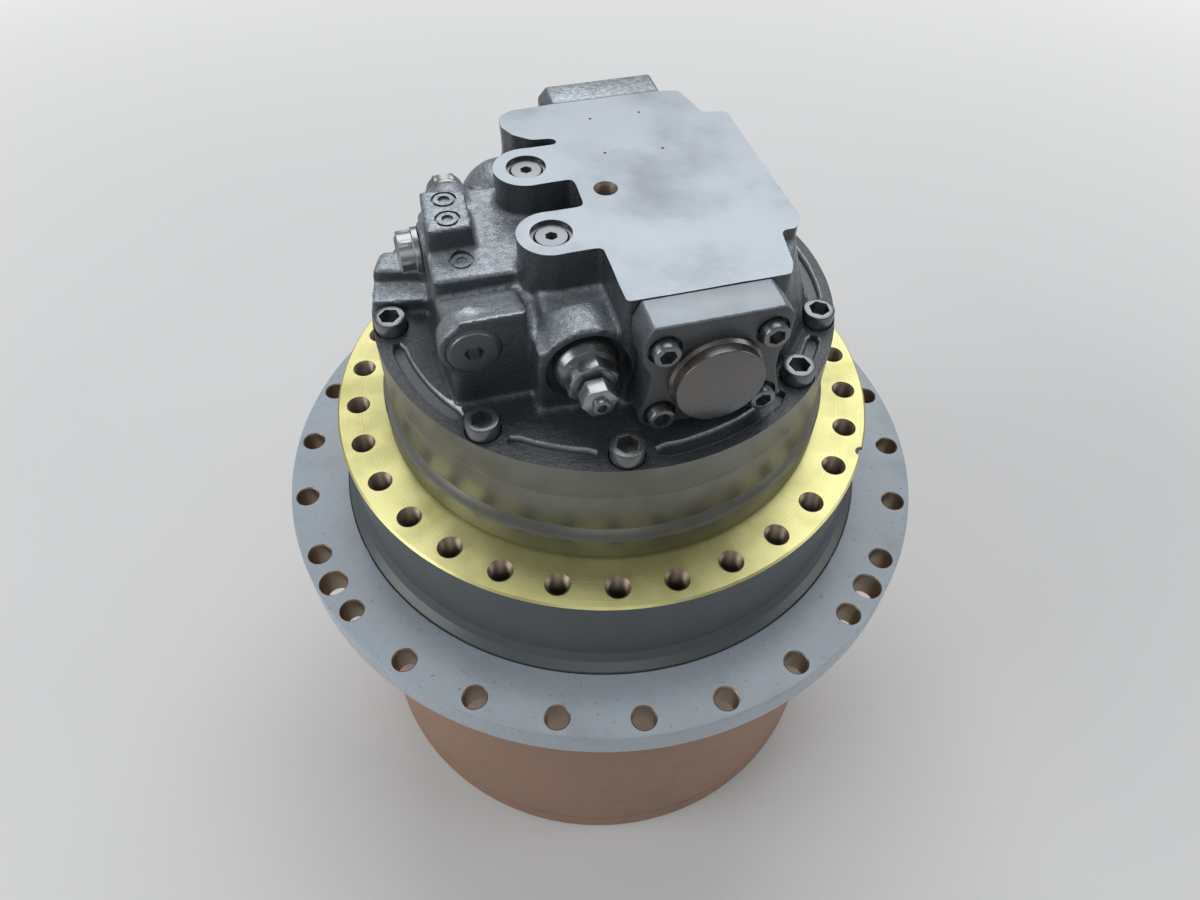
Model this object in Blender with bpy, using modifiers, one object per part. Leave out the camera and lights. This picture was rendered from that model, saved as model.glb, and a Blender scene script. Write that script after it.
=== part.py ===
"""Track final drive: hydraulic motor, two planetary stages and a turning sprocket hub.

The drive stands on its gear cover with its turning axis along +Z. The origin is at the
middle of the cover's lower face. The spindle side is fixed to the track frame, and the hub
turns round it. Every length is in metres.
"""
import math

import bmesh
import bpy
from mathutils import Matrix, Vector

MM = 0.001
GAP = 0.3 * MM

# Heights along the axis, from the cover's lower face.
COVER_JOINT = 25 * MM
SPROCKET_FLANGE_LOW = 316 * MM
SPROCKET_FLANGE_TOP = 344 * MM
FRAME_FACE = 432 * MM
SPIGOT_TOP = 456 * MM
SPINDLE_END = 194 * MM
CASE_JOINT = 500 * MM
CASTING_RIM = 530 * MM
BOLT_SEAT = 525 * MM
GROOVE_FLOOR = 525.6 * MM
BLOCK_TOP = 625 * MM

# Radii of the coaxial forms.
DRUM_RADIUS = 249 * MM
SPROCKET_FLANGE_RADIUS = 287.5 * MM
SPROCKET_HOLE_CIRCLE = 273 * MM
FRAME_FLANGE_RADIUS = 227.7 * MM
FRAME_HOLE_CIRCLE = 210 * MM
SPINDLE_WALL_RADIUS = 225.5 * MM
SPIGOT_RADIUS = 185.4 * MM
CASE_RADIUS = 180 * MM
LABYRINTH_RADIUS = 236 * MM
CHAMFER = 1.5 * MM

# Hole patterns, with the angle of the first hole.
SPROCKET_HOLES = 26
SPROCKET_FIRST_ANGLE = math.radians(0.66)
SPROCKET_HOLE_RADIUS = 9.4 * MM
DOWEL_HOLE_RADIUS = 11.25 * MM
DOWEL_ANGLES = (math.radians(-144.65), math.radians(-33.9))
FRAME_HOLES = 30
FRAME_FIRST_ANGLE = math.radians(-2.2)
FRAME_HOLE_RADIUS = 8.8 * MM
FRAME_HOLE_DEPTH = 34 * MM

# Gear train: both stages run in the one ring gear that is cut inside the hub.
MODULE = 7 * MM
PRESSURE_ANGLE = math.radians(20)
RING_TEETH = 60
INPUT_SUN_TEETH = 12
INPUT_PLANET_TEETH = 24
OUTPUT_SUN_TEETH = 18
OUTPUT_PLANET_TEETH = 21
PLANETS = 3
ADDENDUM = 6.3 * MM
DEDENDUM = 8.4 * MM
TOOTH_THINNING = 0.5 * MM
ROOT_UNDERCUT = 0.3 * MM
INPUT_STAGE = (36 * MM, 82 * MM)
OUTPUT_STAGE = (104 * MM, 172 * MM)
RING_GEAR = (34 * MM, 176 * MM)

# Main bearings between spindle and hub.
BEARING_LOW = (208 * MM, 248 * MM)
BEARING_HIGH = (264 * MM, 304 * MM)
RACE_BORE = 170.3 * MM
RACE_INNER_LIP = 181 * MM
RACE_OUTER_LIP = 204.5 * MM
RACE_OUTSIDE = 219.6 * MM
ROLLERS = 15
ROLLER_REACH = 9.4 * MM

# Valve head: a block turned about the axis, with its own X along the motor's port face.
HEAD_TURN = math.radians(16)
HEAD_HALF_DEPTH = 120 * MM
SPOOL_X = 33.5 * MM
SPOOL_Z = 577 * MM
SPOOL_RADIUS = 17 * MM
CAP_DEPTH = 28 * MM
CAP_BOLT_X = 36 * MM
CAP_BOLT_Z = 29 * MM
PLUG_LOBE_X = -49 * MM
PLUG_LOBE_Y = 40.3 * MM
LOBE_RADIUS = 24 * MM

MOTOR_BOLT_CIRCLE = 166.5 * MM
MOTOR_BOLT_ANGLES = (-164.5, -119.2, -84.0, -32.0, -9.5, 40.0, 95.0, 142.0)
M16_HEAD_RADIUS = 12 * MM
M16_HEAD_HEIGHT = 16 * MM
M12_HEAD_RADIUS = 9 * MM
M12_HEAD_HEIGHT = 12 * MM

LARGE_STEPS = 36
MIDDLE_STEPS = 20
SMALL_STEPS = 12
HOLE_STEPS = 8
FLAT_ANGLE = math.radians(0.2)
SHARP_ANGLE = math.radians(40)

PAINT_GREY = ("painted_hub", (0.46, 0.48, 0.51), 0.45, 0.3)
PRIMER = ("primer_drum", (0.42, 0.30, 0.25), 0.5, 0.1)
CASTING = ("dark_casting", (0.09, 0.10, 0.115), 0.4, 0.3)
MACHINED = ("machined_steel", (0.50, 0.50, 0.47), 0.35, 0.9)
SPINDLE = ("spindle_steel", (0.55, 0.54, 0.42), 0.4, 0.7)
ZINC = ("plated_steel", (0.62, 0.63, 0.64), 0.3, 0.9)
BLACK_STEEL = ("black_bolts", (0.12, 0.12, 0.13), 0.4, 0.7)
GEAR_STEEL = ("gear_steel", (0.40, 0.41, 0.43), 0.3, 0.9)
BEARING_STEEL = ("bearing_steel", (0.66, 0.67, 0.69), 0.2, 1.0)
BRONZE = ("bronze", (0.55, 0.38, 0.16), 0.4, 0.9)
FRICTION = ("friction_lining", (0.20, 0.16, 0.12), 0.8, 0.0)


def clear_scene():
    """Remove every object that the new file holds."""
    for item in list(bpy.data.objects):
        bpy.data.objects.remove(item, do_unlink=True)


clear_scene()
PARTS = bpy.data.collections.new("track_final_drive")
CUTTERS = bpy.data.collections.new("cutters")
bpy.context.scene.collection.children.link(PARTS)
bpy.context.scene.collection.children.link(CUTTERS)


def surface(finish):
    """Return the material of a finish, made once."""
    name, colour, roughness, metallic = finish
    found = bpy.data.materials.get(name)
    if found:
        return found
    made = bpy.data.materials.new(name)
    made.use_nodes = True
    shader = made.node_tree.nodes["Principled BSDF"]
    shader.inputs["Base Color"].default_value = (*colour, 1.0)
    shader.inputs["Roughness"].default_value = roughness
    shader.inputs["Metallic"].default_value = metallic
    return made


def add_object(name, mesh, collection=None):
    """Link a mesh as a new object and return it."""
    item = bpy.data.objects.new(name, mesh)
    (collection or PARTS).objects.link(item)
    return item


def as_cutter(item):
    """Move an object to the cutters, drawn as a wire and left out of renders."""
    for owner in list(item.users_collection):
        owner.objects.unlink(item)
    CUTTERS.objects.link(item)
    item.hide_render = True
    item.display_type = "WIRE"
    return item


def boolean(target, tool, operation):
    """Cut or join the tool with the target, exactly."""
    as_cutter(tool)
    step = target.modifiers.new(operation.lower(), "BOOLEAN")
    step.operation = operation
    step.solver = "EXACT"
    step.object = tool
    return target


def cut(target, *tools):
    """Take the tools away from the target."""
    for tool in tools:
        boolean(target, tool, "DIFFERENCE")
    return target


def join(target, *tools):
    """Fuse the tools with the target."""
    for tool in tools:
        boolean(target, tool, "UNION")
    return target


def flatten(item):
    """Merge the flat faces that the cuts and joins have split."""
    step = item.modifiers.new("flat_faces", "DECIMATE")
    step.decimate_type = "DISSOLVE"
    step.angle_limit = FLAT_ANGLE
    return item


def dress(item, finish):
    """Give a part its material, and merge its flat faces where it was cut."""
    if any(step.type == "BOOLEAN" for step in item.modifiers):
        flatten(item)
    item.data.materials.clear()
    item.data.materials.append(surface(finish))
    return item


def turned(name, profile, steps=LARGE_STEPS, closed=True):
    """Turn a profile of (radius, height) points about Z, outer side given top to bottom."""
    mesh = bpy.data.meshes.new(name)
    shape = bmesh.new()
    corners = [shape.verts.new((radius, 0.0, height)) for radius, height in profile]
    for start, end in zip(corners, corners[1:]):
        shape.edges.new((start, end))
    if closed:
        shape.edges.new((corners[-1], corners[0]))
    shape.to_mesh(mesh)
    shape.free()
    item = add_object(name, mesh)
    screw = item.modifiers.new("turn", "SCREW")
    screw.axis = "Z"
    screw.steps = steps
    screw.render_steps = steps
    screw.use_merge_vertices = True
    screw.merge_threshold = 0.00001
    screw.use_smooth_shade = True
    return item


def solid_of_turning(name, profile, steps=LARGE_STEPS):
    """Turn a profile whose two ends are on the axis."""
    return turned(name, profile, steps, closed=False)


def cylinders(name, places, radius, low, high, steps=HOLE_STEPS, collection=None):
    """Make one mesh of upright cylinders at the (x, y) places."""
    mesh = bpy.data.meshes.new(name)
    shape = bmesh.new()
    for x, y in places:
        centre = Matrix.Translation((x, y, (low + high) / 2))
        bmesh.ops.create_cone(
            shape, cap_ends=True, segments=steps, radius1=radius, radius2=radius,
            depth=high - low, matrix=centre)
    shape.to_mesh(mesh)
    shape.free()
    return add_object(name, mesh, collection)


def rod(name, radius, length, centre, direction, steps=SMALL_STEPS, radius_far=None):
    """Make a cylinder or cone with its axis along a direction."""
    mesh = bpy.data.meshes.new(name)
    shape = bmesh.new()
    aim = Vector(direction).to_track_quat("Z", "Y").to_matrix().to_4x4()
    far = radius if radius_far is None else radius_far
    bmesh.ops.create_cone(
        shape, cap_ends=True, segments=steps, radius1=radius, radius2=far, depth=length,
        matrix=Matrix.Translation(centre) @ aim)
    shape.to_mesh(mesh)
    shape.free()
    return add_object(name, mesh)


def box(name, low, high):
    """Make a box between two corners."""
    mesh = bpy.data.meshes.new(name)
    shape = bmesh.new()
    size = [b - a for a, b in zip(low, high)]
    middle = [(a + b) / 2 for a, b in zip(low, high)]
    place = Matrix.Translation(middle) @ Matrix.Diagonal((*size, 1.0))
    bmesh.ops.create_cube(shape, size=1.0, matrix=place)
    shape.to_mesh(mesh)
    shape.free()
    return add_object(name, mesh)


def prism(name, outlines, low, high):
    """Extrude flat outlines between two heights; inner outlines are holes."""
    curve = bpy.data.curves.new(name, "CURVE")
    curve.dimensions = "2D"
    curve.fill_mode = "BOTH"
    curve.extrude = (high - low) / 2
    curve.resolution_u = 1
    curve.render_resolution_u = 0
    for outline in outlines:
        line = curve.splines.new("POLY")
        line.points.add(len(outline) - 1)
        for point, (x, y) in zip(line.points, outline):
            point.co = (x, y, 0.0, 1.0)
        line.use_cyclic_u = True
    drawn = bpy.data.objects.new(name + "_outline", curve)
    PARTS.objects.link(drawn)
    drawn.location = (0.0, 0.0, (low + high) / 2)
    bpy.context.view_layer.update()
    graph = bpy.context.evaluated_depsgraph_get()
    mesh = bpy.data.meshes.new_from_object(drawn.evaluated_get(graph))
    shape = bmesh.new()
    shape.from_mesh(mesh)
    bmesh.ops.remove_doubles(shape, verts=shape.verts, dist=0.00001)
    bmesh.ops.dissolve_limit(
        shape, angle_limit=FLAT_ANGLE, verts=shape.verts, edges=shape.edges)
    shape.to_mesh(mesh)
    shape.free()
    item = add_object(name, mesh)
    item.matrix_world = drawn.matrix_world.copy()
    bpy.data.objects.remove(drawn, do_unlink=True)
    return item


def circle(radius, steps, centre=(0.0, 0.0), start=0.0):
    """Return the corners of a regular outline."""
    return [
        (centre[0] + radius * math.cos(start + math.tau * n / steps),
         centre[1] + radius * math.sin(start + math.tau * n / steps))
        for n in range(steps)]


def arc(centre, radius, start, end, steps):
    """Return points on an arc, angles in degrees."""
    return [
        (centre[0] + radius * math.cos(math.radians(start + (end - start) * n / steps)),
         centre[1] + radius * math.sin(math.radians(start + (end - start) * n / steps)))
        for n in range(steps + 1)]


def on_circle(radius, count, first):
    """Return (x, y) places spaced evenly on a circle."""
    return circle(radius, count, start=first)


def involute(angle):
    """Return the involute function of an angle."""
    return math.tan(angle) - angle


def half_tooth(teeth, radius, thinning):
    """Return half of a tooth's angle at a radius."""
    pitch = MODULE * teeth / 2
    base = pitch * math.cos(PRESSURE_ANGLE)
    full = math.pi / (2 * teeth) - thinning / (2 * pitch) + involute(PRESSURE_ANGLE)
    if radius <= base:
        return full
    return full - involute(math.acos(base / radius))


def gear_outline(teeth, first_tooth=0.0):
    """Return the outline of an outside gear with a tooth centred at an angle."""
    pitch = MODULE * teeth / 2
    tip = pitch + ADDENDUM
    root = pitch - DEDENDUM
    at_root = half_tooth(teeth, max(root, pitch * math.cos(PRESSURE_ANGLE)), TOOTH_THINNING)
    at_root -= ROOT_UNDERCUT / pitch
    at_tip = half_tooth(teeth, tip, TOOTH_THINNING)
    flank = ((root, -at_root), (tip, -at_tip), (tip, at_tip), (root, at_root))
    return wound(teeth, flank, first_tooth)


def ring_outline(teeth):
    """Return the inner outline of the ring gear, with a tooth space centred on +X."""
    pitch = MODULE * teeth / 2
    radii = (pitch - ADDENDUM, pitch + DEDENDUM)
    halves = [half_tooth(teeth, radius, -TOOTH_THINNING) for radius in radii]
    rising = [(radius, -half) for radius, half in zip(radii, halves)]
    falling = [(radius, half) for radius, half in reversed(list(zip(radii, halves)))]
    return wound(teeth, rising + falling, 0.0)


def wound(teeth, flank, first):
    """Repeat one tooth's (radius, angle) points round the gear."""
    points = []
    for tooth in range(teeth):
        centre = first + math.tau * tooth / teeth
        for radius, angle in flank:
            points.append((radius * math.cos(centre + angle), radius * math.sin(centre + angle)))
    return points


def hex_outline(across_flats, centre=(0.0, 0.0), start=0.0):
    """Return a hexagon by its width across flats."""
    return circle(across_flats / math.sqrt(3), 6, centre, start)


def place_on_head(item):
    """Turn a part of the valve head from the block's own axes to the drive's."""
    item.matrix_world = Matrix.Rotation(HEAD_TURN, 4, "Z") @ item.matrix_world
    return item


def socket_bolt(name, place, seat, head_radius, head_height, shank_radius, shank_length):
    """Make a socket head bolt that points down from its seat."""
    head = cylinders(name, [place], head_radius, seat, seat + head_height, SMALL_STEPS)
    shank = cylinders(
        name + "_shank", [place], shank_radius, seat - shank_length, seat + 2 * MM, HOLE_STEPS)
    socket = prism(
        name + "_socket", [hex_outline(1.16 * head_radius, place)],
        seat + 0.45 * head_height, seat + 1.5 * head_height)
    join(head, shank)
    cut(head, socket)
    return dress(head, BLACK_STEEL)


def build_hub():
    """Make the turning hub: drum, sprocket flange and the ring gear inside it."""
    profile = [
        (SPROCKET_FLANGE_RADIUS - CHAMFER, SPROCKET_FLANGE_TOP),
        (SPROCKET_FLANGE_RADIUS, SPROCKET_FLANGE_TOP - CHAMFER),
        (SPROCKET_FLANGE_RADIUS, SPROCKET_FLANGE_LOW + CHAMFER),
        (SPROCKET_FLANGE_RADIUS - CHAMFER, SPROCKET_FLANGE_LOW),
        (DRUM_RADIUS, SPROCKET_FLANGE_LOW),
        (DRUM_RADIUS, COVER_JOINT + GAP),
        (220 * MM, COVER_JOINT + GAP),
        (220 * MM, RING_GEAR[0]),
        (201 * MM, RING_GEAR[0]),
        (201 * MM, RING_GEAR[1]),
        (220 * MM, RING_GEAR[1]),
        (220 * MM, BEARING_LOW[1] + GAP),
        (207 * MM, BEARING_LOW[1] + GAP),
        (207 * MM, BEARING_HIGH[0] - GAP),
        (220 * MM, BEARING_HIGH[0] - GAP),
        (220 * MM, 307 * MM),
        (LABYRINTH_RADIUS, 307 * MM),
        (LABYRINTH_RADIUS, SPROCKET_FLANGE_TOP)]
    hub = turned("sprocket_hub", profile)
    spaces = prism(
        "ring_gear_spaces", [ring_outline(RING_TEETH)], RING_GEAR[0] - 3 * MM, RING_GEAR[1] + 3 * MM)
    holes = cylinders(
        "sprocket_holes", on_circle(SPROCKET_HOLE_CIRCLE, SPROCKET_HOLES, SPROCKET_FIRST_ANGLE),
        SPROCKET_HOLE_RADIUS, SPROCKET_FLANGE_LOW - 10 * MM, SPROCKET_FLANGE_TOP + 10 * MM)
    dowels = cylinders(
        "dowel_holes",
        [(SPROCKET_HOLE_CIRCLE * math.cos(a), SPROCKET_HOLE_CIRCLE * math.sin(a))
         for a in DOWEL_ANGLES],
        DOWEL_HOLE_RADIUS, SPROCKET_FLANGE_LOW - 10 * MM, SPROCKET_FLANGE_TOP + 10 * MM)
    cut(hub, spaces, holes, dowels)
    return dress(hub, PAINT_GREY)


def build_cover():
    """Make the gear cover with its countersunk screws' sockets and a shallow dish."""
    profile = [
        (0.0, 30 * MM), (219 * MM, 30 * MM), (219 * MM, COVER_JOINT),
        (DRUM_RADIUS, COVER_JOINT), (DRUM_RADIUS, 2 * CHAMFER), (DRUM_RADIUS - 2 * CHAMFER, 0.0),
        (200 * MM, 0.0), (194 * MM, 7 * MM), (0.0, 7 * MM)]
    cover = solid_of_turning("gear_cover", profile)
    screws = cylinders(
        "cover_screw_pockets", on_circle(231 * MM, 12, math.radians(9)), 10 * MM,
        -5 * MM, 13 * MM, HOLE_STEPS)
    threads = cylinders(
        "cover_plug_threads", [(150 * MM, 0.0), (-75 * MM, 130 * MM)], 13 * MM,
        -5 * MM, 40 * MM, HOLE_STEPS)
    cut(cover, screws, threads)
    return dress(cover, PRIMER)


def build_cover_plugs():
    """Make the oil filler and drain plugs in the cover."""
    for name, (x, y) in (("filler_plug", (150 * MM, 0.0)), ("drain_plug", (-75 * MM, 130 * MM))):
        plug = cylinders(name, [(x, y)], 12.6 * MM, 8 * MM, 29 * MM, HOLE_STEPS)
        socket = prism(name + "_socket", [hex_outline(12 * MM, (x, y))], 0.0, 16 * MM)
        cut(plug, socket)
        dress(plug, ZINC)


def build_spindle():
    """Make the fixed spindle: frame flange, spigot, motor case and bearing seat."""
    profile = [
        (CASE_RADIUS, CASE_JOINT),
        (CASE_RADIUS, 463 * MM),
        (SPIGOT_RADIUS, SPIGOT_TOP),
        (SPIGOT_RADIUS, FRAME_FACE),
        (FRAME_FLANGE_RADIUS - CHAMFER, FRAME_FACE),
        (FRAME_FLANGE_RADIUS, FRAME_FACE - CHAMFER),
        (FRAME_FLANGE_RADIUS, FRAME_FACE - 3 * MM),
        (SPINDLE_WALL_RADIUS, FRAME_FACE - 5 * MM),
        (SPINDLE_WALL_RADIUS, 354 * MM),
        (LABYRINTH_RADIUS - 1.6 * MM, 346 * MM),
        (LABYRINTH_RADIUS - 1.6 * MM, 338 * MM),
        (206 * MM, 338 * MM),
        (183 * MM, BEARING_HIGH[1] + GAP),
        (170 * MM, BEARING_HIGH[1] + GAP),
        (170 * MM, SPINDLE_END),
        (48 * MM, SPINDLE_END),
        (48 * MM, 286 * MM),
        (128 * MM, 286 * MM),
        (128 * MM, CASE_JOINT)]
    spindle = turned("spindle_housing", profile)
    holes = cylinders(
        "frame_holes", on_circle(FRAME_HOLE_CIRCLE, FRAME_HOLES, FRAME_FIRST_ANGLE),
        FRAME_HOLE_RADIUS, FRAME_FACE - FRAME_HOLE_DEPTH, FRAME_FACE + 10 * MM)
    notch_angle = math.radians(-20)
    notch = cylinders(
        "index_notch",
        [((FRAME_FLANGE_RADIUS - 1 * MM) * math.cos(notch_angle),
          (FRAME_FLANGE_RADIUS - 1 * MM) * math.sin(notch_angle))],
        5 * MM, FRAME_FACE - 14 * MM, FRAME_FACE + 10 * MM, HOLE_STEPS)
    taps = cylinders(
        "motor_bolt_taps", bolt_places(), 7.6 * MM, CASE_JOINT - 32 * MM, CASE_JOINT + 10 * MM)
    cut(spindle, holes, notch, taps)
    return dress(spindle, SPINDLE)


def bolt_places():
    """Return the (x, y) places of the motor flange bolts."""
    return [
        (MOTOR_BOLT_CIRCLE * math.cos(math.radians(a)), MOTOR_BOLT_CIRCLE * math.sin(math.radians(a)))
        for a in MOTOR_BOLT_ANGLES]


def millimetres(points):
    """Return outline points given in millimetres as metres."""
    return [(x * MM, y * MM) for x, y in points]


def lofted(name, sections):
    """Bridge outlines in millimetres, each with its height, into one closed solid."""
    shape = bmesh.new()
    rings = []
    for outline, height in sections:
        corners = [shape.verts.new((x, y, height * MM)) for x, y in millimetres(outline)]
        rings.append([shape.edges.new((corners[n - 1], corners[n])) for n in range(len(corners))])
    for lower, upper in zip(rings, rings[1:]):
        bmesh.ops.bridge_loops(shape, edges=lower + upper)
    bmesh.ops.holes_fill(shape, edges=shape.edges, sides=0)
    bmesh.ops.recalc_face_normals(shape, faces=shape.faces)
    mesh = bpy.data.meshes.new(name)
    shape.to_mesh(mesh)
    shape.free()
    return add_object(name, mesh)


def grown(outline, growth):
    """Return an outline in millimetres, grown away from its middle."""
    middle_x = sum(x for x, _ in outline) / len(outline)
    middle_y = sum(y for _, y in outline) / len(outline)
    points = []
    for x, y in outline:
        reach = math.hypot(x - middle_x, y - middle_y)
        factor = 1 + growth / reach
        points.append((middle_x + (x - middle_x) * factor, middle_y + (y - middle_y) * factor))
    return points


def drafted(name, outline, low, high, draft):
    """Extrude an outline with draft, so that its foot is wider than its top."""
    return lofted(name, [(grown(outline, draft), low), (outline, high)])


def build_main_block():
    """Make the block under the milled plate, with its flared right flank."""
    block = prism("main_block", [millimetres([
        (-19.5, -120), (91, -120), (96, -110), (99, -92), (102, -76), (113, -76.5),
        (120.5, -64.5), (119.5, 77), (100.5, 80), (93, 116), (76, 120), (-10, 120),
        (-44, 119), (-55, 112), (-56, 97), (-50, 84), (-38, 74), (-23, 72.5),
        (-19.5, 69)])], 520 * MM, BLOCK_TOP + 8 * MM)
    foot = [(60, -118), (112, -108), (138, -80), (156, -40), (158, 20), (142, 74), (112, 108),
            (74, 119), (20, 115), (20, -80)]
    shoulder = [(60, -110), (99, -104), (113, -80), (121.5, -58), (121.5, 20), (120, 72),
                (98, 104), (74, 117), (20, 110), (20, -80)]
    waist = [(0.7 * x + 0.3 * a, 0.7 * y + 0.3 * b) for (x, y), (a, b) in zip(foot, shoulder)]
    flank = lofted("right_flank", [(foot, 520), (waist, 548), (shoulder, 613)])
    return [block, flank]


def build_left_side():
    """Make the raised left block with its pad, boss, lug and port bosses."""
    floor = drafted("valley_floor", [
        (-104, -47), (-30, -47), (-30, 62), (-86, 66), (-104, 52)], 519, 582.4, 1)
    ridge = drafted("left_block", [
        (-133, -57), (-80, -58), (-76, 40), (-88, 60), (-118, 60), (-132, 44)], 518, 614, 4)
    pad = drafted("left_pad", [(-130, -7), (-98, -9), (-95, 37), (-128, 41)], 600, 617.5, 1)
    boss = drafted("front_boss", [
        (-131, -92), (-79, -92), (-77, -64), (-79, -50), (-129, -50)], 515, 606, 2)
    lug = drafted("left_lug", [
        (-163, 18), (-120, 2), (-112, 66), (-138, 74), (-160, 52)], 517, 554, 2)
    step = drafted("lug_step", [(-152, 28), (-120, 12), (-116, 56), (-146, 52)], 540, 566, 2)
    port_a = rod("port_boss_a", 20 * MM, 24 * MM, (-122.4 * MM, 18 * MM, 584 * MM), (1, 0, 0), 12)
    port_b = rod("port_boss_b", 20 * MM, 24 * MM, (-106 * MM, 57.8 * MM, 584 * MM), (0, 1, 0), 12)
    return [floor, ridge, pad, boss, lug, step, port_a, port_b]


def build_relief_boss():
    """Make the round-nosed boss of the relief cartridge, with its sloped top."""
    foot = [(-76, -111), (-12, -111), (-12, -50), (-74, -50)]
    crown = [(-66, -106), (-20, -106), (-20, -60), (-64, -60)]
    boss = lofted("relief_boss", [(foot, 516), (foot, 572), (crown, 592)])
    nose = rod("relief_nose", 34 * MM, 30 * MM, (-43 * MM, -98 * MM, 566 * MM), (0, 1, 0), 20)
    return [boss, nose]


def build_tabs():
    """Make the two round tabs that carry the port plugs, each on its arm."""
    tabs = []
    for side in (-1, 1):
        centre = side * PLUG_LOBE_Y
        turn = arc((PLUG_LOBE_X, centre), LOBE_RADIUS, -90, -270, 8)
        outline = [(0.0, centre - LOBE_RADIUS)] + turn + [(0.0, centre + LOBE_RADIUS)]
        tabs.append(prism("tab", [outline], 547 * MM, BLOCK_TOP + 6 * MM + side * MM))
    return tabs


def build_rear_dome():
    """Make the round cast dome behind the tabs and the arm that joins it to the block."""
    shape = bmesh.new()
    bmesh.ops.create_uvsphere(shape, u_segments=16, v_segments=10, radius=1.0)
    bmesh.ops.scale(shape, vec=(40 * MM, 38 * MM, 46 * MM), verts=shape.verts)
    bmesh.ops.translate(shape, vec=(-58 * MM, 98 * MM, 548 * MM), verts=shape.verts)
    mesh = bpy.data.meshes.new("rear_dome")
    shape.to_mesh(mesh)
    shape.free()
    arm = rod("dome_arm", 24 * MM, 34 * MM, (-69 * MM, 86 * MM, 560 * MM), (1, 0.2, 0), 14)
    return [add_object("rear_dome", mesh), arm]


def build_casting():
    """Make the valve casting: round flange, main block, tabs, side blocks and bosses."""
    joint = CASE_JOINT + GAP
    casting = solid_of_turning("valve_casting", [
        (0.0, 530.6 * MM), (161 * MM, 530.6 * MM), (163 * MM, GROOVE_FLOOR),
        (170.5 * MM, GROOVE_FLOOR), (172 * MM, CASTING_RIM), (CASE_RADIUS, CASTING_RIM),
        (CASE_RADIUS, joint), (127 * MM, joint), (127 * MM, 494 * MM), (0.0, 494 * MM)])
    solids = [
        *build_main_block(), *build_left_side(), *build_relief_boss(), *build_tabs(),
        *build_rear_dome()]
    for piece in solids:
        place_on_head(piece)
    join(casting, *solids)
    trim_casting(casting)
    return dress(casting, CASTING)


def trim_casting(casting):
    """Cut the bores, seats and recesses of the valve casting."""
    seats = cylinders(
        "bolt_seats", bolt_places(), 15.5 * MM, BOLT_SEAT, 560 * MM, SMALL_STEPS)
    clearance = cylinders("bolt_clearance", bolt_places(), 8.8 * MM, 480 * MM, 560 * MM)
    spool = rod("spool_bore", SPOOL_RADIUS, 300 * MM, (SPOOL_X, 0, SPOOL_Z), (0, 1, 0), 16)
    eye = cylinders("eye_bolt_hole", [(0.0, 0.0)], 7 * MM, 600 * MM, 640 * MM, SMALL_STEPS)
    wells = cylinders(
        "plug_wells", [(PLUG_LOBE_X, -PLUG_LOBE_Y), (PLUG_LOBE_X, PLUG_LOBE_Y)],
        14.5 * MM, 614 * MM, 640 * MM, 16)
    recess = rod("relief_recess", 29 * MM, 30 * MM, (-43 * MM, -119 * MM, 566 * MM), (0, 1, 0), 16)
    seat = rod("relief_seat", 12 * MM, 60 * MM, (-43 * MM, -96 * MM, 566 * MM), (0, 1, 0), 12)
    side = rod("side_plug_well", 19 * MM, 20 * MM, (-115 * MM, -94 * MM, 580 * MM), (0, 1, 0), 16)
    port_a = rod("left_port_a", 13 * MM, 40 * MM, (-140 * MM, 18 * MM, 584 * MM), (1, 0, 0), 12)
    port_b = rod("left_port_b", 13 * MM, 40 * MM, (-106 * MM, 76 * MM, 584 * MM), (0, 1, 0), 12)
    for tool in (spool, eye, wells, recess, seat, side, port_a, port_b):
        place_on_head(tool)
    milling = box("milled_top", (-200 * MM, -200 * MM, BLOCK_TOP),
                  (200 * MM, 200 * MM, BLOCK_TOP + 20 * MM))
    cut(casting, milling)
    cut(casting, seats, clearance, spool, eye, wells, recess, seat, side, port_a, port_b)


def cap_outline():
    """Return the four-eared outline of a spool cap in its own width and height."""
    ear = 14.5 * MM
    low = SPOOL_Z - CAP_BOLT_Z
    high = BLOCK_TOP
    points = []
    points += arc((-CAP_BOLT_X, low), ear, 180, 290, 4)
    points += arc((CAP_BOLT_X, low), ear, 250, 360, 4)
    points += [(CAP_BOLT_X + 9 * MM, SPOOL_Z), (CAP_BOLT_X + 14 * MM, SPOOL_Z + 18 * MM)]
    points += [(CAP_BOLT_X + 14 * MM, high - 8 * MM), (CAP_BOLT_X + 7 * MM, high)]
    points += [(-CAP_BOLT_X - 8 * MM, high), (-CAP_BOLT_X - 14 * MM, high - 12 * MM)]
    points += [(-CAP_BOLT_X - 14 * MM, SPOOL_Z + 18 * MM), (-CAP_BOLT_X - 9 * MM, SPOOL_Z)]
    return points


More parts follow.
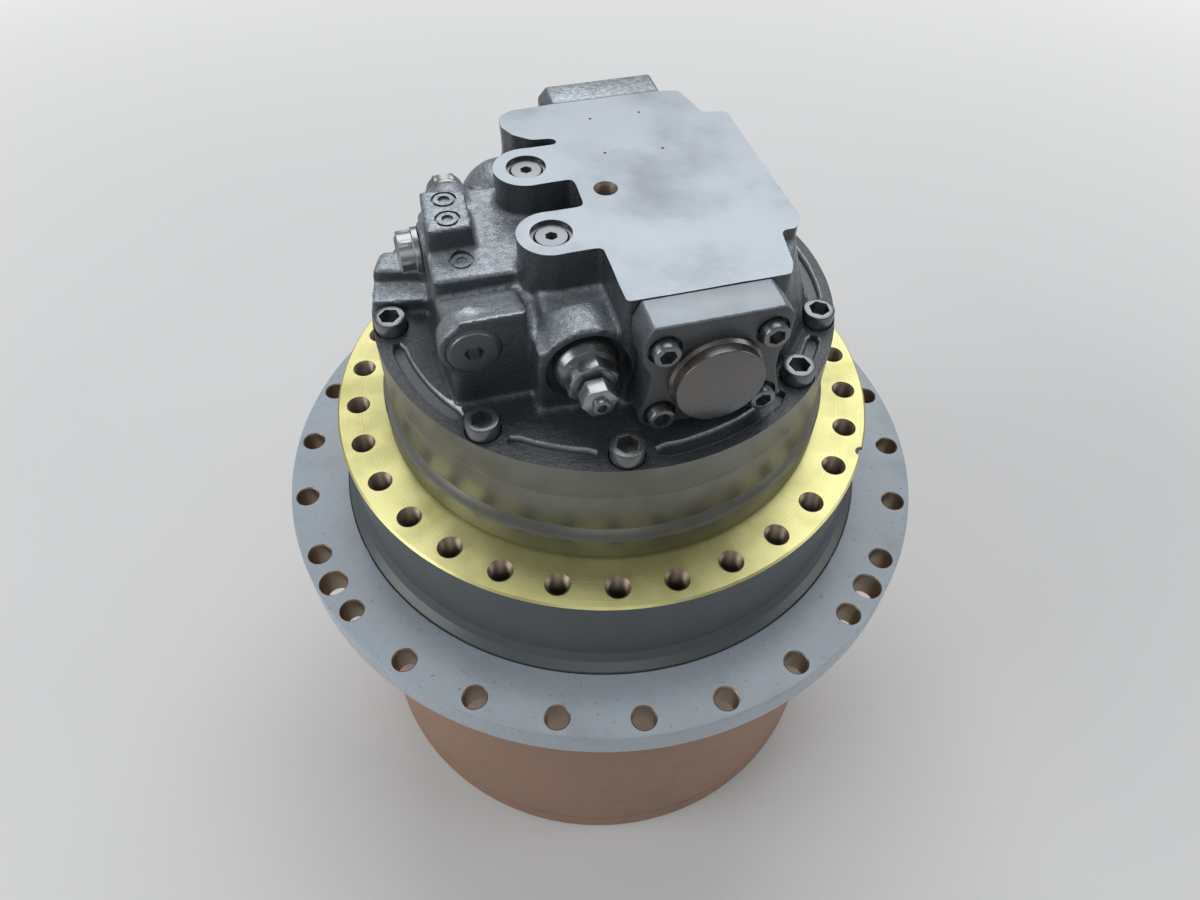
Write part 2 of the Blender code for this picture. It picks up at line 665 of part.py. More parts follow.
def build_spool_cap(name, side):
    """Make a cap that closes one end of the spool bore, with its boss and four bolts."""
    cap = prism(name, [cap_outline()], 0.0, CAP_DEPTH)
    boss = rod(name + "_boss", 31 * MM, 26 * MM, (0, SPOOL_Z, CAP_DEPTH), (0, 0, 1), 16)
    chamber = rod(name + "_chamber", 15 * MM, 36 * MM, (0, SPOOL_Z, 10 * MM), (0, 0, 1), HOLE_STEPS)
    places = [(x, SPOOL_Z + z) for x in (-CAP_BOLT_X, CAP_BOLT_X) for z in (-CAP_BOLT_Z, CAP_BOLT_Z)]
    seats = cylinders(name + "_seats", places, 12 * MM, CAP_DEPTH - 5 * MM, CAP_DEPTH + 9 * MM, 10)
    heads = cylinders(
        name + "_heads", places, M12_HEAD_RADIUS, CAP_DEPTH - 12 * MM,
        CAP_DEPTH - 5 * MM + M12_HEAD_HEIGHT, 10)
    sockets = cylinders(name + "_sockets", places, 5 * MM, CAP_DEPTH + 1 * MM, CAP_DEPTH + 12 * MM, 6)
    join(cap, boss)
    cut(cap, seats, chamber)
    join(cap, heads)
    cut(cap, sockets)
    outward = Matrix(((-side, 0, 0, SPOOL_X), (0, 0, side, side * (HEAD_HALF_DEPTH + GAP)),
                      (0, 1, 0, 0), (0, 0, 0, 1)))
    for item in (cap, boss, chamber, seats, heads, sockets):
        item.matrix_world = outward @ item.matrix_world
        place_on_head(item)
    return dress(cap, CASTING)


def build_relief_valve():
    """Make the relief cartridge: hexagon body, lock nut and adjusting screw."""
    centre_x, height = -43 * MM, 566 * MM
    body = rod("relief_valve", 22 * MM, 10 * MM, (centre_x, -110 * MM, height), (0, 1, 0), 16)
    stem = rod("relief_stem", 11.7 * MM, 34 * MM, (centre_x, -92 * MM, height), (0, 1, 0), 12)
    hexagon = rod("relief_hexagon", 18.5 * MM, 13 * MM, (centre_x, -120 * MM, height), (0, 1, 0), 6)
    neck = rod("relief_neck", 10 * MM, 12 * MM, (centre_x, -130 * MM, height), (0, 1, 0), 12)
    nut = rod("relief_lock_nut", 13 * MM, 9 * MM, (centre_x, -140 * MM, height), (0, 1, 0), 6)
    screw = rod("relief_screw", 7 * MM, 14 * MM, (centre_x, -144 * MM, height), (0, 1, 0), 10)
    socket = rod("relief_socket", 3.5 * MM, 10 * MM, (centre_x, -150 * MM, height), (0, 1, 0), 6)
    join(body, stem, hexagon, neck, nut, screw)
    cut(body, socket)
    for item in (body, stem, hexagon, neck, nut, screw, socket):
        place_on_head(item)
    return dress(body, ZINC)


def build_port_plugs():
    """Make the flush plugs of the two tabs and the wide plug of the front block."""
    for name, y in (("front_port_plug", -PLUG_LOBE_Y), ("rear_port_plug", PLUG_LOBE_Y)):
        plug = cylinders(name, [(PLUG_LOBE_X, y)], 11.5 * MM, 614.3 * MM, 622 * MM, 16)
        socket = prism(name + "_socket", [hex_outline(8 * MM, (PLUG_LOBE_X, y))], 618 * MM, 630 * MM)
        cut(plug, socket)
        for item in (plug, socket):
            place_on_head(item)
        dress(plug, ZINC)
    plug = rod("side_bore_plug", 18.6 * MM, 10 * MM, (-115 * MM, -89.3 * MM, 580 * MM), (0, 1, 0), 16)
    socket = rod("side_plug_socket", 6 * MM, 10 * MM, (-115 * MM, -93 * MM, 580 * MM), (0, 1, 0), 6)
    cut(plug, socket)
    for item in (plug, socket):
        place_on_head(item)
    dress(plug, CASTING)


def build_hex_plugs():
    """Make the two hexagon plugs on the far left of the casting."""
    rows = (("left_hex_plug", (-120 * MM, 18 * MM, 584 * MM), (-1, 0, 0)),
            ("rear_hex_plug", (-106 * MM, 58 * MM, 584 * MM), (0, 1, 0)))
    for name, seat, way in rows:
        out = Vector(way)
        start = Vector(seat)
        stem = rod(name, 12.6 * MM, 18 * MM, start + out * 10 * MM, way, 12)
        collar = rod(name + "_collar", 17 * MM, 5 * MM, start + out * 17.5 * MM, way, 16)
        head = rod(name + "_head", 15.5 * MM, 12 * MM, start + out * 25 * MM, way, 6)
        join(stem, collar, head)
        for item in (stem, collar, head):
            place_on_head(item)
        dress(stem, ZINC)


def build_motor_bolts():
    """Make the bolts that hold the valve casting on the motor case."""
    for number, place in enumerate(bolt_places(), 1):
        socket_bolt(
            "motor_bolt_%d" % number, place, BOLT_SEAT + GAP, M16_HEAD_RADIUS, M16_HEAD_HEIGHT,
            7.2 * MM, 50 * MM)


def build_bearing(prefix, span, raised):
    """Make one main bearing: inner race, outer race and a cage that carries the rollers."""
    low, high = span[0] + GAP, span[1] - GAP
    inner = turned(prefix + "_inner_race", [
        (RACE_INNER_LIP, high), (RACE_INNER_LIP, low), (RACE_BORE, low), (RACE_BORE, high)])
    outer = turned(prefix + "_outer_race", [
        (RACE_OUTSIDE, high), (RACE_OUTSIDE, low), (RACE_OUTER_LIP, low), (RACE_OUTER_LIP, high)])
    middle = (RACE_INNER_LIP + RACE_OUTER_LIP) / 2
    outside = [(middle + 2 * MM, -0.055), (middle + ROLLER_REACH, -0.024),
               (middle + ROLLER_REACH, 0.024), (middle + 2 * MM, 0.055)]
    inside = [(2 * middle - radius, angle) for radius, angle in outside]
    cage = prism(prefix + "_roller_cage", [
        wound(ROLLERS, outside, raised), wound(ROLLERS, inside, raised)],
        low + 2 * MM, high - 2 * MM)
    dress(inner, BEARING_STEEL)
    dress(outer, BEARING_STEEL)
    dress(cage, BEARING_STEEL)


def build_seal():
    """Make the two lapped rings of the face seal, one on the spindle and one in the hub."""
    fixed = turned("spindle_seal_ring", [
        (231 * MM, 337.6 * MM), (231 * MM, 323 * MM), (209 * MM, 323 * MM), (209 * MM, 337.6 * MM)])
    turning = turned("hub_seal_ring", [
        (235.4 * MM, 322.4 * MM), (235.4 * MM, 307.4 * MM), (209 * MM, 307.4 * MM),
        (209 * MM, 322.4 * MM)])
    dress(fixed, MACHINED)
    dress(turning, MACHINED)


def build_spindle_nut():
    """Make the ring nut that holds the inner races on the spindle."""
    nut = turned("bearing_nut", [
        (188 * MM, 207.7 * MM), (188 * MM, 195 * MM), (RACE_BORE, 195 * MM), (RACE_BORE, 207.7 * MM)])
    slots = cylinders("nut_slots", on_circle(189 * MM, 4, 0.0), 7 * MM, 190 * MM, 201 * MM, 4)
    cut(nut, slots)
    dress(nut, GEAR_STEEL)


def stage_places(sun_teeth, planet_teeth):
    """Return the planets' (x, y) places in a stage."""
    distance = MODULE * (sun_teeth + planet_teeth) / 2
    return on_circle(distance, PLANETS, 0.0)


def build_planets(prefix, sun_teeth, planet_teeth, span, bore):
    """Make the planet gears, each with a tooth that points away from the sun."""
    for number, (x, y) in enumerate(stage_places(sun_teeth, planet_teeth), 1):
        outward = math.atan2(y, x)
        planet = prism(
            "%s_%d" % (prefix, number),
            [gear_outline(planet_teeth, outward), circle(bore, SMALL_STEPS)], *span)
        planet.location.x = x
        planet.location.y = y
        dress(planet, GEAR_STEEL)


def build_input_stage():
    """Make the input sun, its planets and their turning carrier with its three pins."""
    low, high = INPUT_STAGE
    places = stage_places(INPUT_SUN_TEETH, INPUT_PLANET_TEETH)
    sun = prism(
        "input_sun_gear", [gear_outline(INPUT_SUN_TEETH, math.pi / INPUT_SUN_TEETH)],
        low - 4 * MM, high + 2 * MM)
    bore = cylinders("input_sun_bore", [(0.0, 0.0)], 17.3 * MM, 20 * MM, 100 * MM, SMALL_STEPS)
    cut(sun, bore)
    dress(sun, GEAR_STEEL)
    build_planets("input_planet", INPUT_SUN_TEETH, INPUT_PLANET_TEETH, INPUT_STAGE, 28 * MM)
    plate = prism(
        "input_carrier", [carrier_outline(places[0][0], 34 * MM)], high + 3 * MM, high + 15 * MM)
    eye = cylinders("carrier_eye", [(0.0, 0.0)], 44.5 * MM, high - 8 * MM, high + 30 * MM, MIDDLE_STEPS)
    cut(plate, eye)
    dress(plate, GEAR_STEEL)
    for number, place in enumerate(places, 1):
        pin = cylinders(
            "input_pin_%d" % number, [place], 26.5 * MM, low - 6 * MM, high + 2.7 * MM, SMALL_STEPS)
        dress(pin, BEARING_STEEL)


def carrier_outline(distance, ear):
    """Return the three-armed outline of a planet carrier."""
    points = []
    for arm in range(PLANETS):
        middle = 360 * arm / PLANETS
        centre = (distance * math.cos(math.radians(middle)), distance * math.sin(math.radians(middle)))
        points += arc(centre, ear, middle - 80, middle + 80, 6)
        between = math.radians(middle + 180 / PLANETS)
        points.append((0.62 * distance * math.cos(between), 0.62 * distance * math.sin(between)))
    return points


def build_output_stage():
    """Make the output sun, its planets and the fixed carrier at the spindle's end."""
    low, high = OUTPUT_STAGE
    places = stage_places(OUTPUT_SUN_TEETH, OUTPUT_PLANET_TEETH)
    sun = prism("output_sun_gear", [gear_outline(OUTPUT_SUN_TEETH, 0.0)], low - 4 * MM, high + 2 * MM)
    neck = cylinders("output_sun_neck", [(0.0, 0.0)], 44 * MM, 85.4 * MM, low, MIDDLE_STEPS)
    bore = cylinders("output_sun_bore", [(0.0, 0.0)], 26 * MM, 70 * MM, 200 * MM, HOLE_STEPS)
    join(sun, neck)
    cut(sun, bore)
    dress(sun, GEAR_STEEL)
    build_planets("output_planet", OUTPUT_SUN_TEETH, OUTPUT_PLANET_TEETH, OUTPUT_STAGE, 30 * MM)
    carrier = turned("output_carrier", [
        (172 * MM, SPINDLE_END - GAP), (172 * MM, 176 * MM), (70 * MM, 176 * MM),
        (70 * MM, SPINDLE_END - GAP)])
    seats = cylinders("output_pin_seats", places, 28.3 * MM, 170 * MM, 200 * MM, SMALL_STEPS)
    cut(carrier, seats)
    dress(carrier, GEAR_STEEL)
    for number, place in enumerate(places, 1):
        pin = cylinders(
            "output_pin_%d" % number, [place], 28 * MM, low - 4 * MM, 193.4 * MM, SMALL_STEPS)
        dress(pin, BEARING_STEEL)


def build_rotating_group():
    """Make the motor's shaft, cylinder block and the nine pistons with their plate."""
    shaft = solid_of_turning("motor_shaft", [
        (0.0, 491 * MM), (18 * MM, 491 * MM), (18 * MM, 400 * MM), (24 * MM, 398 * MM),
        (24 * MM, 258 * MM), (17 * MM, 250 * MM), (17 * MM, 34 * MM), (0.0, 34 * MM)], SMALL_STEPS)
    dress(shaft, GEAR_STEEL)
    places = on_circle(52 * MM, 9, 0.0)
    block = cylinders("cylinder_block", [(0.0, 0.0)], 78 * MM, 372 * MM, 483.6 * MM, MIDDLE_STEPS)
    bores = cylinders("cylinder_bores", places, 14.3 * MM, 360 * MM, 470 * MM, HOLE_STEPS)
    hollow = cylinders("block_bore", [(0.0, 0.0)], 24.4 * MM, 350 * MM, 500 * MM, SMALL_STEPS)
    cut(block, bores, hollow)
    dress(block, GEAR_STEEL)
    pistons = prism(
        "piston_set", [circle(73 * MM, 18), circle(30 * MM, HOLE_STEPS)], 328 * MM, 334 * MM)
    stems = cylinders("piston_stems", places, 13.8 * MM, 323.7 * MM, 440 * MM, HOLE_STEPS)
    join(pistons, stems)
    dress(pistons, BRONZE)


def build_motor_fixed():
    """Make the swash plate, the valve plate and the shaft bearing."""
    swash = turned("swash_plate", [
        (84 * MM, 323.4 * MM), (84 * MM, 300 * MM), (70 * MM, 287 * MM), (34 * MM, 287 * MM),
        (34 * MM, 323.4 * MM)], MIDDLE_STEPS)
    dress(swash, GEAR_STEEL)
    ports = [
        arc((0.0, 0.0), 59 * MM, start, start + 120, 6) + arc((0.0, 0.0), 45 * MM, start + 120, start, 4)
        for start in (30, 210)]
    plate = prism(
        "valve_plate", [circle(74 * MM, MIDDLE_STEPS), circle(26 * MM, HOLE_STEPS), *ports],
        484 * MM, 493.6 * MM)
    dress(plate, BRONZE)
    bearing = turned("shaft_bearing", [
        (47.6 * MM, 285.7 * MM), (47.6 * MM, 258.3 * MM), (25.5 * MM, 258.3 * MM),
        (25.5 * MM, 285.7 * MM)], MIDDLE_STEPS)
    dress(bearing, BEARING_STEEL)


def build_brake():
    """Make the parking brake: friction disc, steel plate and spring-applied piston."""
    disc = turned("brake_friction_disc", [
        (106 * MM, 420 * MM), (106 * MM, 416 * MM), (80 * MM, 416 * MM), (80 * MM, 420 * MM)],
        MIDDLE_STEPS)
    dress(disc, FRICTION)
    plate = turned("brake_steel_plate", [
        (127 * MM, 415.5 * MM), (127 * MM, 410 * MM), (84 * MM, 410 * MM), (84 * MM, 415.5 * MM)],
        MIDDLE_STEPS)
    dress(plate, GEAR_STEEL)
    piston = turned("brake_piston", [
        (126.5 * MM, 470 * MM), (126.5 * MM, 440 * MM), (104 * MM, 432 * MM), (104 * MM, 420.4 * MM),
        (86 * MM, 420.4 * MM), (86 * MM, 470 * MM)], MIDDLE_STEPS)
    dress(piston, GEAR_STEEL)


def build_spool():
    """Make the counterbalance spool that slides along the block."""
    spool = turned_along_block("counterbalance_spool", [
        (0.0, 100 * MM), (16 * MM, 100 * MM), (16 * MM, 52 * MM), (10 * MM, 50 * MM),
        (10 * MM, 20 * MM), (16 * MM, 18 * MM), (16 * MM, -18 * MM), (10 * MM, -20 * MM),
        (10 * MM, -50 * MM), (16 * MM, -52 * MM), (16 * MM, -100 * MM), (0.0, -100 * MM)])
    dress(spool, MACHINED)


def turned_along_block(name, profile):
    """Turn a profile and lay it along the spool bore."""
    item = solid_of_turning(name, profile, SMALL_STEPS)
    lay = Matrix.Translation((SPOOL_X, 0.0, SPOOL_Z)) @ Matrix.Rotation(math.pi / 2, 4, "X")
    item.matrix_world = lay
    return place_on_head(item)


def finish_meshes():
    """Settle every part's shape and shade it smooth with its edges kept sharp."""
    bpy.context.view_layer.update()
    graph = bpy.context.evaluated_depsgraph_get()
    shapes = [(item, bpy.data.meshes.new_from_object(item.evaluated_get(graph)))
              for item in PARTS.objects]
    for item, shape in shapes:
        item.modifiers.clear()
        item.data = shape
        shape.name = item.name
        shape.shade_smooth()
        shape.set_sharp_from_angle(angle=SHARP_ANGLE)


def build_all():
    """Make every piece of the drive."""
    build_hub()
    build_cover()
    build_cover_plugs()
    build_spindle()
    build_casting()
    build_spool_cap("front_spool_cap", -1)
    build_spool_cap("rear_spool_cap", 1)
    build_relief_valve()
    build_port_plugs()
    build_hex_plugs()
    build_motor_bolts()
    build_bearing("lower_bearing", BEARING_LOW, 0.0)
    build_bearing("upper_bearing", BEARING_HIGH, math.pi / ROLLERS)
    build_seal()
    build_spindle_nut()
    build_input_stage()
    build_output_stage()
    build_rotating_group()
    build_motor_fixed()
    build_brake()
    build_spool()
    finish_meshes()


build_all()
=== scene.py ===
"""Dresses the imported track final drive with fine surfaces, screws, gears and finishes.

Lengths are in metres in the drive's own frame: +Z is the turning axis, from the gear cover up
to the valve block, and the origin is in the middle of the cover's lower face.
"""
from __future__ import annotations

import logging
import math
from collections.abc import Iterable
from dataclasses import dataclass, field
from enum import Enum
from typing import Union

import bmesh
import bpy
from mathutils import Matrix, Vector, noise


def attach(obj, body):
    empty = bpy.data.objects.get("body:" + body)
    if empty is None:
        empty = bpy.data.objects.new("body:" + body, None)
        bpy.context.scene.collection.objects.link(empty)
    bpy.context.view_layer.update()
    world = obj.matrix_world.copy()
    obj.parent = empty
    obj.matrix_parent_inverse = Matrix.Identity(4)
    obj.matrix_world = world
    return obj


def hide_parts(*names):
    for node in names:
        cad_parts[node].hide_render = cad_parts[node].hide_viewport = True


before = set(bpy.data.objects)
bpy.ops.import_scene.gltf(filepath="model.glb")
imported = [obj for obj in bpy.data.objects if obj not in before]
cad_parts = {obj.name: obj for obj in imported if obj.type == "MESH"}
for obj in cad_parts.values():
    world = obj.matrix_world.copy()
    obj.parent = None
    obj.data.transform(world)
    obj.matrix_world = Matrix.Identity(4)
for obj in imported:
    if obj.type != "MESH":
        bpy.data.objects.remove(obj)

LOG = logging.getLogger("final_drive")
MM = 0.001
FIXED = "spindle_side"
TURNING = "hub"
HEAD_TURN = math.radians(16)
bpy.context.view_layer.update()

X_WAY = (1, 0, 0)
Y_WAY = (0, 1, 0)
Z_WAY = (0, 0, 1)

Pair = tuple[float, float]
Triple = tuple[float, float, float]
Socket = bpy.types.NodeSocket
Value = Union[bpy.types.NodeSocket, float, tuple, str]


def mm(*points: tuple[float, ...]) -> list[tuple[float, ...]]:
    """Return points given in millimetres in metres."""
    return [tuple(value * MM for value in point) for point in points]


def at(x: float, y: float, z: float) -> Triple:
    """Return three lengths given in millimetres in metres."""
    return (x * MM, y * MM, z * MM)


def spots(radius: float, angles: Iterable[float], height: float = 0.0) -> list[Triple]:
    """Return the places on a circle about the axis, one for each angle in radians."""
    return [(radius * math.cos(angle), radius * math.sin(angle), height) for angle in angles]


class Grain(Enum):
    """How a metal surface was worked."""

    TURNED = "turned"
    MILLED = "milled"
    PLAIN = "plain"


class NodeTools:
    """Short ways to add nodes to a tree."""

    tree: bpy.types.NodeTree

    def node(self, kind: str, inputs: dict[str | int, Value] | None = None,
             **settings: str) -> bpy.types.Node:
        """Add a node.

        Args:
            kind: Blender's name of the node type.
            inputs: values or output sockets, by input name or number.
            **settings: the node's own properties.

        Returns:
            The new node.
        """
        made = self.tree.nodes.new(kind)
        for key, value in settings.items():
            setattr(made, key, value)
        for key, value in (inputs or {}).items():
            if isinstance(value, bpy.types.NodeSocket):
                self.tree.links.new(value, made.inputs[key])
            else:
                made.inputs[key].default_value = value
        return made

    def calc(self, kind: str, first: Value, second: Value = 0.0) -> Socket:
        """Return the result of one arithmetic step."""
        return self.node("ShaderNodeMath", {0: first, 1: second}, operation=kind).outputs[0]


class NodeSheet(NodeTools):
    """One material's node tree."""

    def __init__(self, name: str) -> None:
        """Start an empty material with its shader and object coordinates.

        Args:
            name: the material's name.
        """
        self.material = bpy.data.materials.new(name)
        self.material.use_nodes = True
        self.tree = self.material.node_tree
        self.shader = self.tree.nodes["Principled BSDF"]
        self.place = self.tree.nodes.new("ShaderNodeTexCoord").outputs["Object"]

    def feed(self, name: str, value: Value) -> None:
        """Give one of the shader's inputs a value or a socket.

        Args:
            name: the input's name.
            value: a plain value, or the output that drives it.
        """
        if isinstance(value, bpy.types.NodeSocket):
            self.tree.links.new(value, self.shader.inputs[name])
        else:
            self.shader.inputs[name].default_value = value

    def cloud(self, scale: float, detail: float = 3.0, rough: float = 0.5,
              where: Socket | None = None) -> Socket:
        """Add a soft random pattern.

        Args:
            scale: how many grains fit in a metre.
            detail: how many finer layers it has.
            rough: how strong the finer layers are.
            where: the coordinates, or the piece's own.

        Returns:
            The pattern, from 0 to 1.
        """
        made = self.node("ShaderNodeTexNoise", {
            "Vector": self.place if where is None else where, "Scale": scale,
            "Detail": detail, "Roughness": rough})
        return made.outputs[0]

    def stretched(self, factors: Triple, turn: float = 0.0) -> Socket:
        """Return object coordinates turned about Z and stretched along each axis."""
        return self.node("ShaderNodeMapping", {
            "Vector": self.place, "Rotation": (0.0, 0.0, turn), "Scale": factors}).outputs[0]

    def radius(self) -> Socket:
        """Measure the distance from the turning axis.

        Returns:
            The distance, in metres.
        """
        flat = self.node("ShaderNodeVectorMath", {0: self.place, 1: (1.0, 1.0, 0.0)},
                         operation="MULTIPLY")
        return self.node("ShaderNodeVectorMath", {0: flat.outputs[0]},
                         operation="LENGTH").outputs["Value"]

    def height(self) -> Socket:
        """Return the height above the cover's lower face."""
        return self.node("ShaderNodeSeparateXYZ", {"Vector": self.place}).outputs[2]

    def around_axis(self, scale: float) -> Socket:
        """Make coordinates that change only with radius and height, for turning marks.

        Args:
            scale: how many lines fit in a metre.

        Returns:
            The coordinates.
        """
        return self.node("ShaderNodeCombineXYZ", {
            "X": self.calc("MULTIPLY", self.radius(), scale),
            "Z": self.calc("MULTIPLY", self.height(), scale)}).outputs[0]

    def span(self, value: Value, low: float, high: float, out_low: float = 0.0,
             out_high: float = 1.0) -> Socket:
        """Carry a value from one range to another, held at its ends.

        Args:
            value: the value.
            low: where the first range starts.
            high: where the first range ends.
            out_low: where the second range starts.
            out_high: where the second range ends.

        Returns:
            The carried value.
        """
        made = self.node("ShaderNodeMapRange", {
            "Value": value, "From Min": low, "From Max": high, "To Min": out_low,
            "To Max": out_high})
        return made.outputs[0]

    def blend(self, factor: Value, first: Value, second: Value) -> Socket:
        """Return a mix of two colours."""
        made = self.node("ShaderNodeMix", {0: factor, 6: first, 7: second}, data_type="RGBA")
        return made.outputs[2]

    def bump(self, height: Socket, depth: float, strength: float = 1.0,
             under: Socket | None = None) -> Socket:
        """Add a height pattern.

        Args:
            height: the pattern, from 0 to 1.
            depth: how deep it is, in metres.
            strength: how strongly it shows.
            under: the normal that it lies on, or none.

        Returns:
            The bumped normal.
        """
        inputs = {"Height": height, "Distance": depth, "Strength": strength}
        if under is not None:
            inputs["Normal"] = under
        return self.node("ShaderNodeBump", inputs).outputs[0]

    def upward(self) -> Socket:
        """Return how far the surface faces up, from 0 to 1."""
        normal = self.node("ShaderNodeNewGeometry").outputs["Normal"]
        return self.span(self.node("ShaderNodeSeparateXYZ", {"Vector": normal}).outputs[2], 0.2, 1.0)


def rgba(colour: Triple, factor: float = 1.0) -> tuple[float, float, float, float]:
    """Return a colour, lightened or darkened, with full alpha."""
    return (colour[0] * factor, colour[1] * factor, colour[2] * factor, 1.0)


@dataclass(frozen=True)
class Metal:
    """A bare metal surface with the marks of its working."""

    name: str
    colour: Triple
    roughness: float
    grain: Grain = Grain.PLAIN
    metallic: float = 0.9
    marks: float = 0.00004
    stain: Triple = (0.20, 0.17, 0.11)
    staining: float = 0.15
    turn: float = 0.0
    lines_per_metre: float = 1500.0
    contrast: float = 0.12

    def material(self) -> bpy.types.Material:
        """Build the node material.

        Returns:
            The new material.
        """
        sheet = NodeSheet(self.name)
        if self.grain is Grain.TURNED:
            lines = sheet.cloud(1.0, 4.0, 0.7, sheet.around_axis(self.lines_per_metre))
        elif self.grain is Grain.MILLED:
            lines = sheet.cloud(1.0, 4.0, 0.65, sheet.stretched((60.0, 1100.0, 200.0), self.turn))
        else:
            lines = sheet.cloud(900.0, 3.0, 0.6)
        patches = sheet.cloud(14.0, 5.0, 0.6)
        stains = sheet.span(patches, 0.45, 0.8, 0.0, self.staining * 2.0)
        worn = sheet.blend(
            lines, rgba(self.colour, 1.0 - self.contrast), rgba(self.colour, 1.0 + self.contrast))
        sheet.feed("Base Color", sheet.blend(stains, worn, rgba(self.stain)))
        sheet.feed("Roughness", sheet.span(
            sheet.calc("ADD", lines, patches), 0.6, 1.4, self.roughness - 0.07, self.roughness + 0.1))
        sheet.feed("Metallic", self.metallic)
        sheet.feed("Normal", sheet.bump(lines, self.marks, 0.7))
        return sheet.material


@dataclass(frozen=True)
class Coat:
    """A painted surface with orange peel, specks and random grime, and a painted shade that darkens it
    upwards between low and high.
    """

    name: str
    colour: Triple
    roughness: float
    peel_scale: float = 420.0
    peel_depth: float = 0.00012
    speck: Triple = (0.04, 0.04, 0.045)
    specks: float = 0.25
    dirt_and_shade: Triple = (0.10, 0.09, 0.08)
    dirt_share: float = 0.35
    # low and high: the heights over which a painted shade grows darker upwards, when high is above
    # low.
    low: float = 0.0
    high: float = 0.0

    def material(self) -> bpy.types.Material:
        """Build the node material.

        Returns:
            The new material.
        """
        sheet = NodeSheet(self.name)
        broad = sheet.cloud(9.0, 6.0, 0.62)
        fine = sheet.cloud(self.peel_scale, 3.0, 0.6)
        dots = sheet.span(sheet.cloud(260.0, 2.0, 0.7), 0.66, 0.74, 0.0, self.specks)
        shade = sheet.blend(broad, rgba(self.colour, 0.84), rgba(self.colour, 1.14))
        dirt_and_shade_mask = sheet.span(sheet.cloud(23.0, 6.0, 0.7), 0.52, 0.8, 0.0, self.dirt_share)
        # Painted shade: darker towards the top between low and high, mixed in with the random dirt.
        if self.high > self.low:
            rise = sheet.span(sheet.height(), self.low, self.high, 0.0, 0.75)
            dirt_and_shade_mask = sheet.calc("MAXIMUM", dirt_and_shade_mask, sheet.calc("MULTIPLY", rise, broad))
        colour = sheet.blend(dirt_and_shade_mask, shade, rgba(self.dirt_and_shade))
        sheet.feed("Base Color", sheet.blend(dots, colour, rgba(self.speck)))
        sheet.feed("Roughness", sheet.span(
            sheet.calc("ADD", broad, fine), 0.6, 1.4, self.roughness - 0.08, self.roughness + 0.12))
        sheet.feed("Metallic", 0.0)
        under = sheet.bump(sheet.cloud(60.0, 2.0), self.peel_depth * 3.0, 0.6)
        sheet.feed("Normal", sheet.bump(fine, self.peel_depth, 0.8, under))
        return sheet.material


@dataclass(frozen=True)
class RoughCast:
    """A sand-cast surface under glossy dark paint, with a painted sheen that makes it paler where it
    faces up.
    """

    name: str
    colour: Triple
    # pale is the colour of a painted sheen on upward faces; the two heights below set where that sheen
    # fades in.
    pale: Triple
    roughness: float = 0.24
    grain_scale: float = 620.0
    depth: float = 0.0006
    sheen: float = 0.7
    painted_sheen_from: float = 0.5315
    painted_sheen_full: float = 0.541

    def material(self) -> bpy.types.Material:
        """Build the node material.

        Returns:
            The new material.
        """
        sheet = NodeSheet(self.name)
        sand = sheet.cloud(self.grain_scale, 4.0, 0.65)
        lumps = sheet.cloud(190.0, 4.0, 0.55)
        broad = sheet.cloud(18.0, 5.0, 0.6)
        # Painted sheen: upward faces above the set height are mixed towards the pale colour and made
        # metallic.
        face = sheet.calc("MULTIPLY", sheet.upward(), sheet.span(broad, 0.3, 0.65, 0.75, 1.0))
        face = sheet.calc("MULTIPLY", face, sheet.span(
            sheet.height(), self.painted_sheen_from, self.painted_sheen_full, 0.0, 1.0))
        raised = sheet.span(sheet.calc("ADD", sand, lumps), 0.8, 1.2, 0.5, 1.0)
        shade = sheet.blend(broad, rgba(self.colour, 0.8), rgba(self.colour, 1.25))
        lit = sheet.calc("MULTIPLY", face, raised)
        sheet.feed("Base Color", sheet.blend(lit, shade, rgba(self.pale)))
        sheet.feed("Roughness", sheet.span(sand, 0.3, 0.7, self.roughness - 0.1, self.roughness + 0.2))
        sheet.feed("Metallic", sheet.calc("MULTIPLY", lit, self.sheen))
        sheet.feed("Specular IOR Level", 0.75)
        under = sheet.bump(lumps, self.depth * 1.8, 0.6)
        sheet.feed("Normal", sheet.bump(sand, self.depth, 0.8, under))
        return sheet.material


FINISHES: dict[str, bpy.types.Material] = {}


def finish(kind: Metal | Coat | RoughCast) -> bpy.types.Material:
    """Give a finish's material, built once.

    Args:
        kind: the finish.

    Returns:
        Its material.
    """
    if kind.name not in FINISHES:
        FINISHES[kind.name] = kind.material()
    return FINISHES[kind.name]


SATIN_GREY = Coat("satin_grey_paint", (0.40, 0.455, 0.51), 0.3, peel_depth=0.00022, specks=0.6,
                  dirt_share=0.25)
WALL_GREY = Coat("wall_grey_paint", (0.10, 0.112, 0.118), 0.32, specks=0.3, dirt_share=0.3)
# Painted reflection: this brown is a brown floor mirrored in the glossy drum and cover. Between low
# and high it also gets a painted shade under the hub flange.
BROWN_REFLECTION_PAINT = Coat(
    "brown_primer", (0.33, 0.19, 0.125), 0.5, peel_scale=300.0, dirt_and_shade=(0.10, 0.088, 0.08),
    dirt_share=0.45, low=0.16, high=0.32)
# The pale colours of these cast finishes are a painted sheen on their upward faces.
CAST = RoughCast("cast_dark_paint", (0.036, 0.043, 0.05), (0.47, 0.525, 0.58))
CAST_SMOOTH = RoughCast(
    "cast_smooth_paint", (0.05, 0.057, 0.064), (0.34, 0.38, 0.42), 0.3, 700.0, 0.0002)
